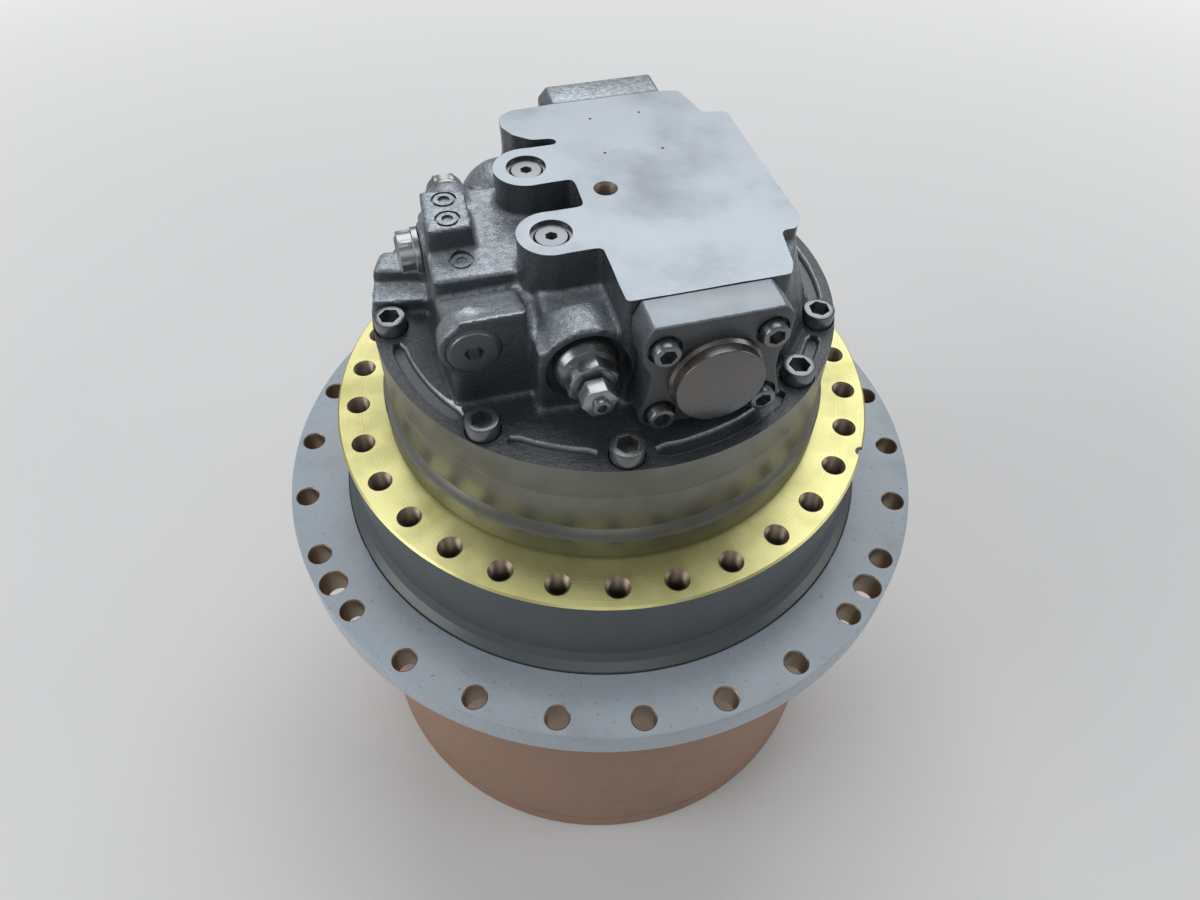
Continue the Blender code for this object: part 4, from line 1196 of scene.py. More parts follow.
@dataclass
class ValveCasting:
    """The valve block: a sand casting with a milled top, bores, tabs and spot faces."""

    top: float = 625 * MM
    rim: float = 530 * MM
    joint: float = 500.3 * MM
    radius: float = 180.2 * MM
    grain: float = 2.3 * MM
    bolt_circle: float = 166.5 * MM
    bolt_angles: tuple[float, ...] = (-164.5, -119.2, -84.0, -32.0, -9.5, 40.0, 95.0, 142.0)
    tab_x: float = -49 * MM
    tab_y: float = 40.3 * MM
    spool_x: float = 33.5 * MM
    spool_z: float = 577 * MM
    tab_radius: float = 24 * MM
    foot: float = 515.0
    over: float = 633.0
    case_bore: float = 127 * MM
    case_spigot: float = 494 * MM
    groove_circle: float = 166.2 * MM
    groove_half: tuple[Pair, ...] = ((7.8, 531.2), (5.0, 529.2), (3.6, 525.8))
    pinch: float = 2.4 * MM
    mark_floor: float = 615.1
    marks: tuple[Triple, ...] = ((-112, 27, 0), (-113, 4, 0), (-109, -19, -19))
    pits: tuple[Triple, ...] = ((-13, 92, 0), (25, 103, 0), (-1, 45, 0), (42, 53, 0))
    side_bore: Pair = (-115, 580)
    relief_bore: Pair = (-43, 566)
    left_port: Pair = (18, 584)
    rear_port: Pair = (-106, 584)
    grooves: tuple[Pair, ...] = ((-158, -126), (-112.5, -91), (-77, -39), (-25.5, -16), (-3, 33),
                                 (47, 88), (102, 135), (149, 166))
    parts: list[bpy.types.Object] = field(default_factory=list)

    def build(self) -> None:
        """Shape the casting, machine it and dress it."""
        casting = self.cast_body()
        self.machine(casting)
        smooth(casting, 40.0)
        fasten(casting, FIXED, "dark_casting", "valve_casting")

    def add(self, piece: bpy.types.Object) -> None:
        """Keep a raw form of the casting, turned to the block's place."""
        self.parts.append(on_head(piece))

    def block(self, name: str, outline: list[Pair], low: float, high: float,
              flare: float = 0.0) -> None:
        """Add an upright block, outline and heights in millimetres."""
        self.add(prism(name, mm(*outline), low * MM, high * MM, flare * MM))

    def cast_body(self) -> bpy.types.Object:
        """Melt the raw forms into one rough skin and trim it to the machined envelope.

        Returns:
            The rough casting.
        """
        self.parts.append(turned("cast_flange", [
            (0.0, self.rim), (186 * MM, self.rim), (186 * MM, 480 * MM), (0.0, 480 * MM)], 96))
        self.main_block()
        self.left_side()
        self.tabs()
        skin = united("valve_casting_fine", self.parts)
        melt = skin.modifiers.new("melt", "REMESH")
        melt.mode = "VOXEL"
        melt.voxel_size = self.grain
        ease = skin.modifiers.new("ease", "SMOOTH")
        ease.factor = 0.5
        ease.iterations = 5
        settled(skin)
        normals = [vert.normal.copy() for vert in skin.data.vertices]
        moved: list[float] = []
        for vert, normal in zip(skin.data.vertices, normals):
            moved.extend(vert.co + normal * (0.35 * MM) * noise.noise(vert.co * 60.0))
        skin.data.vertices.foreach_set("co", moved)
        skin.data.update()
        paint(skin, finish(CAST))
        envelope = turned("envelope", [
            (0.0, self.top), (self.radius, self.top), (self.radius, self.joint),
            (self.case_bore, self.joint), (self.case_bore, self.case_spigot),
            (0.0, self.case_spigot)], 180)
        paint(envelope, finish(CASE_STEEL))
        envelope.data.materials.append(finish(MILLED))
        for face in envelope.data.polygons:
            if face.center.z > self.top - 1e-5:
                face.material_index = 1
        return carve(skin, envelope, "INTERSECT")

    def main_block(self) -> None:
        """Add the block under the milled plate, with its flared right flank."""
        self.block("block", [
            (-19.5, -120), (91, -120), (96, -110), (99, -92), (102, -76), (113, -76.5),
            (120.5, -64.5), (119.5, 77), (100.5, 80), (93, 116), (76, 120), (-10, 120),
            (-44, 119), (-55, 112), (-56, 97), (-50, 84), (-38, 74), (-23, 72.5), (-19.5, 69)],
            self.foot, self.over)
        low = [(60, -118), (112, -108), (138, -80), (156, -40), (158, 20), (142, 74), (112, 108),
               (74, 119), (20, 115), (20, -80)]
        high = [(60, -110), (99, -104), (113, -80), (121.5, -58), (121.5, 20), (120, 72),
                (98, 104), (74, 117), (20, 110), (20, -80)]
        self.add(lofted("flank", [
            [(x * MM, y * MM, 520 * MM) for x, y in low],
            [(x * 0.7 * MM + h[0] * 0.3 * MM, y * 0.7 * MM + h[1] * 0.3 * MM, 548 * MM)
             for (x, y), h in zip(low, high)],
            [(x * MM, y * MM, 613 * MM) for x, y in high]]))

    def left_side(self) -> None:
        """Add the raised left block, front boss, relief boss, lug and rear dome."""
        self.block("left_block", [
            (-132, -37), (-75, -39), (-30, -42), (-30, 62), (-86, 66), (-118, 62), (-132, 44)],
            self.foot, 597, 5)
        self.block("left_pad", [(-129, -8), (-98, -8), (-96, 36), (-128, 41)], 585, 617, 2.5)
        self.add(lofted("front_boss", [
            mm((-131, -91, 515), (-77, -92, 515), (-75, -35, 515), (-137, -35, 515)),
            mm((-131, -92, 584), (-77, -92, 584), (-75, -42, 584), (-133, -42, 584)),
            mm((-122, -92, 606), (-77, -92, 606), (-77, -47, 588), (-118, -47, 588))]))
        side_x, side_z = self.side_bore
        self.add(rod("boss_round", at(side_x, -82, side_z), Y_WAY, 23 * MM, 20 * MM))
        self.block("relief_boss", [
            (-76, -111), (-12, -111), (-12, -50), (-74, -50)], self.foot, 585, 1)
        self.add(lofted("relief_top", [
            mm((-76, -111, 570), (-12, -111, 570), (-12, -50, 570), (-74, -50, 570)),
            mm((-66, -106, 592), (-20, -106, 592), (-20, -60, 592), (-64, -60, 592))]))
        relief_x, relief_z = self.relief_bore
        self.add(rod("relief_round", at(relief_x, -98, relief_z), Y_WAY, 34 * MM, 30 * MM))
        self.block("lug", [(-178, 18), (-130, 10), (-120, 62), (-158, 68), (-174, 40)],
                   self.foot, 543, 1)
        self.block("lug_step", [(-173, 39), (-130, 28), (-120, 58), (-164, 61)], 530, 556, 1)
        self.add(ball("dome", at(-58, 98, 548), at(40, 38, 46)))
        self.add(rod("dome_arm", at(-69, 86, 560), (1, 0.2, 0), 24 * MM, 34 * MM))
        left_y, left_z = self.left_port
        rear_x, rear_z = self.rear_port
        self.add(rod("left_port", at(-122.4, left_y, left_z), X_WAY, 20 * MM, 24 * MM))
        self.add(rod("rear_port", at(rear_x, 57.8, rear_z), Y_WAY, 20 * MM, 24 * MM))

    def tabs(self) -> None:
        """Add the two round tabs that carry the flush plugs."""
        for side in (-1, 1):
            self.add(rod("tab", (self.tab_x, side * self.tab_y, 590 * MM), Z_WAY,
                         self.tab_radius, 86 * MM))
            y = side * self.tab_y / MM
            self.block("tab_arm", [(-49, y - 23.6), (0, y - 23.6), (0, y + 23.6), (-49, y + 23.6)],
                       547, self.over)

    def groove_tools(self) -> list[bpy.types.Object]:
        """Make the cutters of the arc grooves between the flange bolts.

        Returns:
            One cutter for each groove.
        """
        tools = []
        for start, end in self.grooves:
            sections = []
            steps = max(6, round((end - start) / 2.5))
            for step in range(steps + 1):
                angle = math.radians(start + (end - start) * step / steps)
                pinch = self.pinch if step in (0, steps) else 0.0
                inner = [(pinch - half * MM, z * MM) for half, z in self.groove_half]
                ring = inner + [(-away, z) for away, z in reversed(inner)]
                sections.append([
                    spots(self.groove_circle + away, [angle], z)[0] for away, z in ring])
            tools.append(paint(lofted("groove_tool", sections), finish(CAST_HIGHLIGHT_EDGE)))
        return tools

    def machine(self, casting: bpy.types.Object) -> None:
        """Cut the bores, seats, wells and threads.

        Args:
            casting: the rough casting.
        """
        seat = turned("seat_tool", mm(
            (0, 560), (13.1, 560), (13.1, 525), (8.8, 525), (8.8, 480), (0, 480)), 40)
        wells = turned("well_tool", mm(
            (0, 640), (14.6, 640), (14.6, 621.8), (12.4, 621.4), (11.9, 614), (0, 614)), 48)
        eye = threaded_tool(7.6 * MM, 590 * MM, self.top, 2 * MM, 1.2 * MM)
        pit = rod("pit_tool", (0.0, 0.0, self.top), Z_WAY, 1.1 * MM, 3 * MM, 12)
        tools = [
            POINTS.repeat("seats", seat, self.bolt_spots(0.0), 0.0, finish(CAST_SMOOTH)),
            *self.bore_tools(),
            POINTS.repeat("wells", wells, head_places(
                [(self.tab_x, side * self.tab_y, 0.0) for side in (-1, 1)]), 0.0, finish(BOSS_STEEL)),
            paint(eye, finish(HOLE_STEEL)),
            self.ring_marks(),
            *self.groove_tools(),
            POINTS.repeat("pits", pit, mm(*self.pits), 0.0, finish(HOLE_STEEL))]
        carve(casting, united("casting_tools", tools))
        x, z = self.relief_bore
        seat = rod("relief_seat", at(x, -96, z), Y_WAY, 12 * MM, 60 * MM)
        carve(casting, paint(on_head(seat), finish(CAST_SMOOTH)))

    def bolt_spots(self, height: float) -> list[Triple]:
        """Return the places of the flange bolts at a height."""
        return spots(self.bolt_circle, map(math.radians, self.bolt_angles), height)

    def bore_tools(self) -> list[bpy.types.Object]:
        """Make the cutters of the bores that lie flat.

        Returns:
            One cutter for each bore.
        """
        side_x, side_z = self.side_bore
        relief_x, relief_z = self.relief_bore
        left_y, left_z = self.left_port
        rear_x, rear_z = self.rear_port
        bores = (
            ("spool_bore", (self.spool_x, 0, self.spool_z), Y_WAY, 17, 300, CASE_STEEL),
            ("relief_recess", at(relief_x, -119, relief_z), Y_WAY, 29, 30, CAST_SMOOTH),
            ("side_well", at(side_x, -94, side_z), Y_WAY, 19, 20, CAST_SMOOTH),
            ("left_port_well", at(-140, left_y, left_z), X_WAY, 13, 40, CASE_STEEL),
            ("rear_port_well", at(rear_x, 76, rear_z), Y_WAY, 13, 40, CASE_STEEL))
        return [paint(on_head(rod(name, centre, way, radius * MM, length * MM)), finish(kind))
                for name, centre, way, radius, length, kind in bores]

    def ring_marks(self) -> bpy.types.Object:
        """Make the cutter of the round foundry marks on the left block.

        Returns:
            The cutter.
        """
        floor, over = self.mark_floor, self.mark_floor + 7
        mark = turned("mark_tool", mm((9.2, over), (9.2, floor), (7.2, floor), (7.2, over)), 32)
        inner = turned("mark_inner", mm((0, over), (4.2, over), (4.2, floor), (0, floor)), 24)
        return POINTS.repeat("ring_marks", united("mark", [mark, inner]),
                             head_places(mm(*self.marks)), 0.0, finish(CAST))


@dataclass
class MotorBolts:
    """The socket bolts that hold the valve casting on the motor case."""

    casting: ValveCasting
    seat: float = 525.3 * MM
    radius: float = 12 * MM
    height: float = 16 * MM

    def build(self) -> None:
        """Make one bolt and put it on each seat."""
        bolt = socket_head("motor_bolt", self.radius, self.height, 1.2 * MM, 50 * MM)
        bolts = POINTS.repeat("motor_bolts_fine", bolt, self.casting.bolt_spots(self.seat), 0.7,
                              finish(BOLT_STEEL))
        smooth(bolts)
        fasten(bolts, FIXED, "black_bolts", *["motor_bolt_%d" % n for n in range(1, 9)])


@dataclass
class SpoolCap:
    """A cap that closes one end of the spool bore, with a round boss and four screws."""

    name: str
    side: int
    spool_x: float = 33.5
    spool_z: float = 577.0
    depth: float = 28.0
    bolt_x: float = 36.0
    bolt_z: float = 29.0
    top: float = 625.0
    ear: float = 14.4
    waist: float = 44.5
    shoulder: float = 50.0
    joint: float = 120.3
    boss_radius: float = 32.5
    chamber_radius: float = 15.0

    def outline(self) -> list[Pair]:
        """Draw the cap's eared outline across its face.

        Returns:
            The outline's points, in millimetres.
        """
        points: list[Pair] = []
        low, middle = self.spool_z - self.bolt_z, self.spool_z
        for centre, start, end in ((-self.bolt_x, 175, 300), (self.bolt_x, 240, 365)):
            for step in range(9):
                angle = math.radians(start + (end - start) * step / 8)
                points.append((centre + self.ear * math.cos(angle), low + self.ear * math.sin(angle)))
        points += [(self.waist, middle - 8), (self.waist, middle + 8),
                   (self.shoulder, middle + 20), (self.shoulder, self.top - 8),
                   (self.shoulder - 7, self.top), (6 - self.shoulder, self.top),
                   (-self.shoulder, self.top - 12), (-self.shoulder, middle + 20),
                   (-self.waist, middle + 8), (-self.waist, middle - 8)]
        return points

    def build(self) -> None:
        """Make the cap with its boss, screw seats and screws."""
        cap = prism(self.name, mm(*self.outline()), 0.0, self.depth * MM)
        bevelled(cap, 1.6 * MM, 3)
        paint(cap, finish(CAST_SMOOTH))
        boss = turned("boss", filleted(mm(
            (0, 41, 0), (self.boss_radius - 1.9, 41, 0.8), (self.boss_radius - 1.9, 33, 0.3),
            (self.boss_radius, 31, 0.4), (self.boss_radius, 20, 0), (0, 20, 0))), 72)
        paint(boss, finish(BOSS_STEEL))
        boss.data.transform(Matrix.Translation((0.0, self.spool_z * MM, 0.0)))
        carve(cap, boss, "UNION")
        places = [(x * MM, (self.spool_z + z) * MM, 0.0)
                  for x in (-self.bolt_x, self.bolt_x) for z in (-self.bolt_z, self.bolt_z)]
        seat = rod("cap_seat", (0.0, 0.0, (self.depth + 15) * MM), Z_WAY, 11.6 * MM, 40 * MM, 36)
        seats = POINTS.repeat("cap_seats", seat, places, 0.0, finish(CAST_SMOOTH))
        chamber = paint(rod("cap_chamber", at(0, self.spool_z, 10), Z_WAY,
                            self.chamber_radius * MM, 36 * MM), finish(CASE_STEEL))
        carve(cap, united("cap_tools", [seats, chamber]))
        head = socket_head("cap_screw", 9 * MM, 12 * MM, 0.9 * MM)
        head.data.transform(Matrix.Translation((0.0, 0.0, (self.depth - 5) * MM)))
        heads = POINTS.repeat("cap_screws", head, places, 0.9, finish(BOLT_STEEL))
        whole = united(self.name + "_fine", [cap, heads])
        outward = Matrix((
            (-self.side, 0, 0, self.spool_x * MM),
            (0, 0, self.side, self.side * self.joint * MM), (0, 1, 0, 0), (0, 0, 0, 1)))
        whole.data.transform(outward)
        on_head(whole)
        whole.data.materials.append(finish(CAP_FACE if self.side < 0 else CAST))
        for face in whole.data.polygons:
            if face.normal.z > 0.999 and face.center.z > (self.top - 0.1) * MM:
                face.material_index = len(whole.data.materials) - 1
        smooth(whole, 35.0)
        fasten(whole, FIXED, "dark_casting", self.name)


@dataclass
class ReliefValve:
    """The adjustable relief cartridge in the front of the block."""

    casting: ValveCasting
    collar: float = -104.5
    hexagons: tuple[tuple[float, ...], ...] = ((32, 0.35, 14, 25.5), (22, 0.1, 29, 42))

    def build(self) -> None:
        """Make the collar, hexagon, lock nut and screw."""
        body = turned("relief_body", filleted(mm(
            (0, 46.5, 0), (6, 46.5, 0.5), (6, 27, 0), (15, 26, 0.5), (16.6, 24, 0),
            (16.6, 15, 0), (20, 13.5, 0.8), (23, 7, 0.8), (23, 2, 0.5), (21, 0, 0),
            (11.6, 0, 0), (11.6, -12, 0), (0, -12, 0))), 48)
        paint(body, finish(BOLT_STEEL))
        pieces = [body]
        for across, start, low, high in self.hexagons:
            piece = prism("relief_hexagon", hexagon(across * MM, start), low * MM, high * MM)
            bevelled(piece, 1.1 * MM, 2)
            pieces.append(paint(piece, finish(BRIGHT_STEEL)))
        socket = paint(prism("relief_socket", hexagon(6.5 * MM), 40 * MM, 60 * MM), finish(BOLT_STEEL))
        carve(body, socket)
        whole = united("relief_valve_fine", pieces)
        x, z = self.casting.relief_bore
        lay = Matrix.Rotation(math.pi / 2, 4, "X")
        whole.data.transform(Matrix.Translation(at(x, self.collar, z)) @ lay)
        on_head(whole)
        smooth(whole)
        fasten(whole, FIXED, "plated_steel", "relief_valve")


@dataclass
class Plugs:
    """The flush plugs of the tabs, the wide side plug and the two hexagon plugs."""

    casting: ValveCasting
    side_seat: float = -84.6
    left_seat: float = -119.5
    rear_seat: float = 58.0

    def build(self) -> None:
        """Make every plug of the valve block."""
        for name, side in (("front_port_plug", -1), ("rear_port_plug", 1)):
            plug = turned(name + "_fine", filleted(mm(
                (0, 622.5, 0), (11.4, 622.5, 0.7), (11.4, 614.2, 0), (0, 614.2, 0))), 48)
            paint(plug, finish(PLUG_STEEL))
            socket = paint(prism("port_socket", hexagon(8 * MM, 0.4), 617 * MM, 630 * MM),
                           finish(BOLT_STEEL))
            carve(plug, socket)
            plug.data.transform(Matrix.Translation(
                (self.casting.tab_x, side * self.casting.tab_y, 0.0)))
            on_head(plug)
            smooth(plug)
            fasten(plug, FIXED, "plated_steel", name)
        self.side_plug()
        y, z = self.casting.left_port
        self.hex_plug("left_hex_plug", at(self.left_seat, y, z), (-1, 0, 0))
        x, z = self.casting.rear_port
        self.hex_plug("rear_hex_plug", at(x, self.rear_seat, z), Y_WAY)

    def side_plug(self) -> None:
        """Make the wide plug on the front of the left block."""
        plug = turned("side_bore_plug_fine", filleted(mm(
            (0, 9.5, 0), (16, 9.5, 0.6), (16.6, 8, 0.2), (18.4, 7.6, 0.3), (18.4, 0, 0),
            (0, 0, 0))), 56)
        paint(plug, finish(CAST_SMOOTH))
        socket = paint(prism("side_socket", hexagon(12 * MM), 3 * MM, 20 * MM), finish(BOLT_STEEL))
        carve(plug, socket)
        x, z = self.casting.side_bore
        lay = Matrix.Rotation(math.pi / 2, 4, "X")
        plug.data.transform(Matrix.Translation(at(x, self.side_seat, z)) @ lay)
        on_head(plug)
        smooth(plug)
        fasten(plug, FIXED, "dark_casting", "side_bore_plug")

    def hex_plug(self, name: str, seat: Triple, way: Triple) -> None:
        """Make one hexagon plug that screws in from outside.

        Args:
            name: the node that it replaces.
            seat: where its collar sits, in metres.
            way: the direction that its head points.
        """
        stem = turned("plug_stem", filleted(mm(
            (0, 32.5, 0), (11, 32.5, 0.6), (14.5, 30, 0), (14.5, 20, 0), (16.9, 19.8, 0.5),
            (16.9, 15.2, 0.5), (12.4, 15, 0), (12.4, 1.2, 0), (0, 1.2, 0))), 40)
        head = prism("plug_head", hexagon(27 * MM), 19 * MM, 30.8 * MM)
        bevelled(head, 0.8 * MM, 2)
        paint(stem, finish(BRIGHT_STEEL))
        paint(head, finish(BRIGHT_STEEL))
        whole = united(name + "_fine", [stem, head])
        aim = Vector(way).to_track_quat("Z", "Y").to_matrix().to_4x4()
        whole.data.transform(Matrix.Translation(seat) @ aim)
        on_head(whole)
        smooth(whole)
        fasten(whole, FIXED, "plated_steel", name)


@dataclass
class Gearing:
    """Involute teeth of the two planetary stages."""

    module: float = 7 * MM
    pressure: float = math.radians(20)
    addendum: float = 6.3 * MM
    dedendum: float = 8.4 * MM
    thinning: float = 0.5 * MM
    ring_teeth: int = 60

    def half(self, teeth: int, radius: float, thinning: float) -> float:
        """Work out half a tooth's angle at a radius.

        Args:
            teeth: the wheel's number of teeth.
            radius: the radius.
            thinning: how much the tooth is thinned at the pitch circle.

        Returns:
            The angle.
        """
        pitch = self.module * teeth / 2
        base = pitch * math.cos(self.pressure)
        wrap = math.tan(self.pressure) - self.pressure
        full = math.pi / (2 * teeth) - thinning / (2 * pitch) + wrap
        if radius <= base:
            return full
        slope = math.acos(base / radius)
        return full - (math.tan(slope) - slope)

    def flank(self, teeth: int, inner: float, outer: float, thinning: float,
              steps: int = 6) -> list[Pair]:
        """Work out one flank from the root to the tip.

        Args:
            teeth: the wheel's number of teeth.
            inner: the radius of the root.
            outer: the radius of the tip.
            thinning: how much the tooth is thinned at the pitch circle.
            steps: how many pieces the flank gets.

        Returns:
            Points of radius and half angle.
        """
        pitch = self.module * teeth / 2
        base = pitch * math.cos(self.pressure)
        points = []
        for step in range(steps + 1):
            radius = inner + (outer - inner) * step / steps
            points.append((radius, self.half(teeth, max(radius, base), thinning)))
        return points

    def wheel(self, name: str, teeth: int, low: float, high: float, first: float,
              bore: float) -> bpy.types.Object:
        """Make one outside gear from a single tooth, repeated on a circle.

        Args:
            name: the gear's name.
            teeth: its number of teeth.
            low: the height of its lower face.
            high: the height of its upper face.
            first: the angle of its first tooth.
            bore: the radius of its bore.

        Returns:
            The gear, about the axis.
        """
        pitch = self.module * teeth / 2
        root, tip = pitch - self.dedendum, pitch + self.addendum
        rise = self.flank(teeth, root, tip, self.thinning)
        inner = root - 1.5 * MM
        outline = [(inner, -rise[0][1] * 1.02)] + [(r, -a) for r, a in rise]
        outline += [(r, a) for r, a in reversed(rise)] + [(inner, rise[0][1] * 1.02)]
        flat = [(r * math.cos(a), r * math.sin(a)) for r, a in outline]
        tooth = prism(name + "_tooth", flat, low, high)
        teeth_piece = CIRCLE.repeat(name + "_teeth", tooth, teeth, 0.0, first, 0.0,
                                    finish(GEAR_STEEL))
        blank = turned(name + "_blank", filleted([
            (root, high, 0.6 * MM), (root, low, 0.6 * MM), (bore, low, 0.8 * MM),
            (bore, high, 0.8 * MM)], 2), teeth * 4)
        paint(blank, finish(GEAR_STEEL))
        return united(name, [blank, teeth_piece])

    def ring(self, name: str, low: float, high: float, outside: float) -> bpy.types.Object:
        """Make the inner teeth as one tooth repeated on a circle.

        Args:
            name: the name of the result.
            low: the height of the lower face.
            high: the height of the upper face.
            outside: the radius that the teeth reach out to.

        Returns:
            The ring of teeth.
        """
        teeth = self.ring_teeth
        pitch = self.module * teeth / 2
        tip, root = pitch - self.addendum, pitch + self.dedendum
        points = []
        for step in range(7):
            radius = tip + (root - tip) * step / 6
            space = self.half(teeth, radius, -self.thinning)
            points.append((radius, math.pi / teeth - space))
        outline = [(outside, -points[-1][1] * 1.1)] + [(r, -a) for r, a in reversed(points)]
        outline += [(r, a) for r, a in points] + [(outside, points[-1][1] * 1.1)]
        flat = [(r * math.cos(a), r * math.sin(a)) for r, a in outline]
        tooth = prism(name + "_tooth", flat, low, high)
        return CIRCLE.repeat(name, tooth, teeth, 0.0, math.pi / teeth, 0.0, finish(GEAR_STEEL))


@dataclass
class GearTrain:
    """The suns and planets of both stages, each on its own body."""

    gearing: Gearing = field(default_factory=Gearing)
    input_sun: int = 12
    input_planet: int = 24
    output_sun: int = 18
    output_planet: int = 21

    def build(self) -> None:
        """Make every wheel in mesh, as the stages stand at rest."""
        half_module = self.gearing.module / 2
        self.planets("input_planet", self.input_planet,
                     half_module * (self.input_sun + self.input_planet), 36 * MM, 82 * MM, 28 * MM)
        self.planets("output_planet", self.output_planet,
                     half_module * (self.output_sun + self.output_planet), 104 * MM, 172 * MM, 30 * MM)
        sun = self.gearing.wheel("input_sun_gear_fine", self.input_sun, 32 * MM, 84 * MM,
                                 math.pi / self.input_sun, 17.3 * MM)
        smooth(sun)
        fasten(sun, "motor_rotor", "gear_steel", "input_sun_gear")
        sun = self.gearing.wheel("output_sun_teeth", self.output_sun, 100 * MM, 174 * MM, 0.0,
                                 26 * MM)
        neck = paint(turned("output_sun_neck", filleted(mm(
            (44, 101, 0), (44, 85.4, 1), (26, 85.4, 1), (26, 101, 0)), 2), 72), finish(GEAR_STEEL))
        whole = united("output_sun_gear_fine", [sun, neck])
        smooth(whole)
        fasten(whole, "input_carrier_group", "gear_steel", "output_sun_gear")

    def planets(self, prefix: str, teeth: int, distance: float, low: float, high: float,
                bore: float) -> None:
        """Make the three planets of a stage.

        Args:
            prefix: the start of their names.
            teeth: their number of teeth.
            distance: how far they stand from the axis.
            low: the height of their lower face.
            high: the height of their upper face.
            bore: the radius of their bore.
        """
        for number, letter in enumerate("abc"):
            angle = math.tau * number / 3
            name = "%s_%d" % (prefix, number + 1)
            wheel = self.gearing.wheel(name + "_fine", teeth, low, high, angle, bore)
            wheel.data.transform(Matrix.Translation(
                (distance * math.cos(angle), distance * math.sin(angle), 0.0)))
            smooth(wheel)
            fasten(wheel, "%s_%s" % (prefix, letter), "gear_steel", name)


@dataclass
class InnerWorks:
    """The kept inner pieces of the bearings, motor and brake, which only get a finish."""

    steel: tuple[str, ...] = (
        "input_carrier", "output_carrier", "bearing_nut", "swash_plate", "brake_steel_plate",
        "brake_piston", "cylinder_block", "motor_shaft")
    races: tuple[str, ...] = (
        "lower_bearing_inner_race", "upper_bearing_inner_race", "lower_bearing_outer_race",
        "upper_bearing_outer_race", "input_pin_1", "input_pin_2", "input_pin_3",
        "output_pin_1", "output_pin_2", "output_pin_3", "shaft_bearing", "spindle_seal_ring",
        "hub_seal_ring", "lower_bearing_roller_cage", "upper_bearing_roller_cage")
    others: tuple[tuple[str, Metal | Coat], ...] = (
        ("valve_plate", BRONZE), ("piston_set", BRONZE), ("brake_friction_disc", LINING),
        ("counterbalance_spool", BRIGHT_STEEL), ("filler_plug", BRIGHT_STEEL),
        ("drain_plug", BRIGHT_STEEL))

    def build(self) -> None:
        """Give each kept node its finish."""
        rows = [(name, GEAR_STEEL) for name in self.steel]
        rows += [(name, RACE_STEEL) for name in self.races]
        rows += list(self.others)
        for name, kind in rows:
            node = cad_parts[name]
            if not node.material_slots:
                node.data.materials.append(finish(kind))
            for slot in node.material_slots:
                slot.material = finish(kind)
            LOG.info("%s is shown as packed, in %s", name, kind.name)


@dataclass(frozen=True)
class Lamp:
    """One square soft lamp: its place, its width in metres and its power in watts."""

    name: str
    place: Triple
    width: float
    power: float


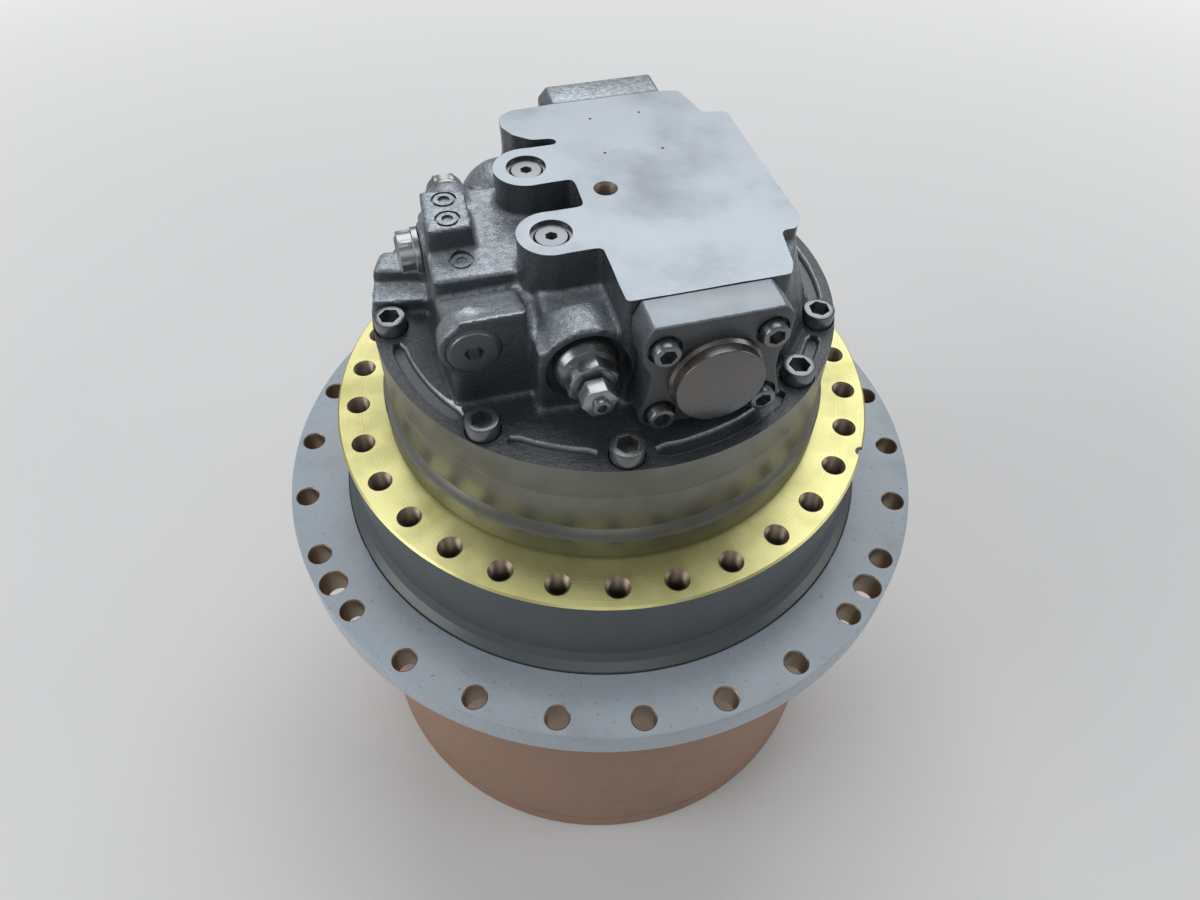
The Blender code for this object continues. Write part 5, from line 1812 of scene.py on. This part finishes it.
@dataclass
class Studio:
    """The floor, soft lamps, background and camera."""

    focal_px: float = 877.02
    width_px: float = 1200.0
    sensor: float = 36.0
    place: Triple = (-0.00087, -0.53723, 0.98580)
    elevation: float = 0.881499
    roll: float = 0.017104
    air: float = 0.27
    floor_half: float = 12.0
    fade_from: float = 0.9
    fade_to: float = 2.6
    white: tuple[float, float, float, float] = (0.92, 0.925, 0.93, 1.0)
    aim: Triple = (0.0, 0.0, 0.4)
    lamp_rows: tuple[Lamp, ...] = (
        Lamp("overhead", (0.1, 1.3, 2.3), 2.2, 33.0), Lamp("left_soft", (-2.0, -0.7, 1.5), 1.4, 21.0),
        Lamp("right_soft", (2.1, -0.2, 1.3), 1.2, 9.5), Lamp("front_soft", (0.2, -2.4, 1.9), 1.5, 7.0))

    def build(self) -> None:
        """Set up the whole studio."""
        self.camera()
        self.floor()
        self.lamps()
        self.background()
        bpy.context.scene.view_settings.view_transform = "Standard"

    def camera(self) -> None:
        """Put the camera at the photograph's viewpoint."""
        data = bpy.data.cameras.new("viewpoint")
        data.sensor_width = self.sensor
        data.lens = self.focal_px / self.width_px * self.sensor
        data.clip_start = 0.01
        data.clip_end = 50.0
        c, s = math.cos(self.elevation), math.sin(self.elevation)
        cr, sr = math.cos(self.roll), math.sin(self.roll)
        right = Vector((cr, sr * s, sr * c))
        up = -Vector((sr, -cr * s, -cr * c))
        back = -Vector((0.0, c, -s))
        camera = bpy.data.objects.new("viewpoint", data)
        bpy.context.scene.collection.objects.link(camera)
        turn = Matrix((right, up, back)).transposed().to_4x4()
        camera.matrix_world = Matrix.Translation(self.place) @ turn
        bpy.context.scene.camera = camera

    def floor(self) -> None:
        """Lay a wide pale floor."""
        shape = bmesh.new()
        bmesh.ops.create_grid(shape, x_segments=1, y_segments=1, size=self.floor_half)
        floor = mesh_object("floor", shape)
        sheet = NodeSheet("floor_paper")
        wash = sheet.cloud(1.5, 3.0)
        paper = sheet.blend(wash, (0.74, 0.745, 0.75, 1.0), (0.78, 0.785, 0.79, 1.0))
        far = sheet.span(sheet.radius(), self.fade_from, self.fade_to)
        seen = sheet.node("ShaderNodeLightPath").outputs["Is Camera Ray"]
        glow = sheet.calc("MULTIPLY", far, seen)
        sheet.feed("Base Color", sheet.blend(glow, paper, (0.0, 0.0, 0.0, 1.0)))
        sheet.feed("Emission Color", self.white)
        sheet.feed("Emission Strength", glow)
        sheet.feed("Roughness", 0.75)
        sheet.feed("Specular IOR Level", 0.0)
        paint(floor, sheet.material)
        for face in floor.data.polygons:
            if face.normal.z < 0:
                floor.data.flip_normals()
                break

    def lamps(self) -> None:
        """Hang the soft lamps round the drive."""
        for row in self.lamp_rows:
            data = bpy.data.lights.new(row.name, "AREA")
            data.shape = "SQUARE"
            data.size = row.width
            data.energy = row.power
            lamp = bpy.data.objects.new(row.name, data)
            bpy.context.scene.collection.objects.link(lamp)
            lamp.location = row.place
            aim = Vector(self.aim) - Vector(row.place)
            lamp.rotation_euler = aim.to_track_quat("-Z", "Y").to_euler()

    def background(self) -> None:
        """Give the world a soft pale light, and a white look where the lens sees it."""
        world = bpy.data.worlds.new("studio_air")
        bpy.context.scene.world = world
        world.use_nodes = True
        tree = world.node_tree
        soft = tree.nodes["Background"]
        soft.inputs["Color"].default_value = (0.80, 0.82, 0.84, 1.0)
        soft.inputs["Strength"].default_value = self.air
        white = tree.nodes.new("ShaderNodeBackground")
        white.inputs["Color"].default_value = self.white
        seen = tree.nodes.new("ShaderNodeLightPath")
        choose = tree.nodes.new("ShaderNodeMixShader")
        tree.links.new(seen.outputs["Is Camera Ray"], choose.inputs[0])
        tree.links.new(soft.outputs[0], choose.inputs[1])
        tree.links.new(white.outputs[0], choose.inputs[2])
        tree.links.new(choose.outputs[0], tree.nodes["World Output"].inputs["Surface"])


def main() -> None:
    """Build the studio and every sub-assembly."""
    logging.basicConfig(level=logging.INFO, format="%(message)s")
    Studio().build()
    SprocketHub().build()
    GearCover().build()
    SpindleHousing().build()
    casting = ValveCasting()
    casting.build()
    MotorBolts(casting).build()
    SpoolCap("front_spool_cap", -1).build()
    SpoolCap("rear_spool_cap", 1).build()
    ReliefValve(casting).build()
    Plugs(casting).build()
    GearTrain().build()
    InnerWorks().build()


if __name__ == "__main__":
    main()
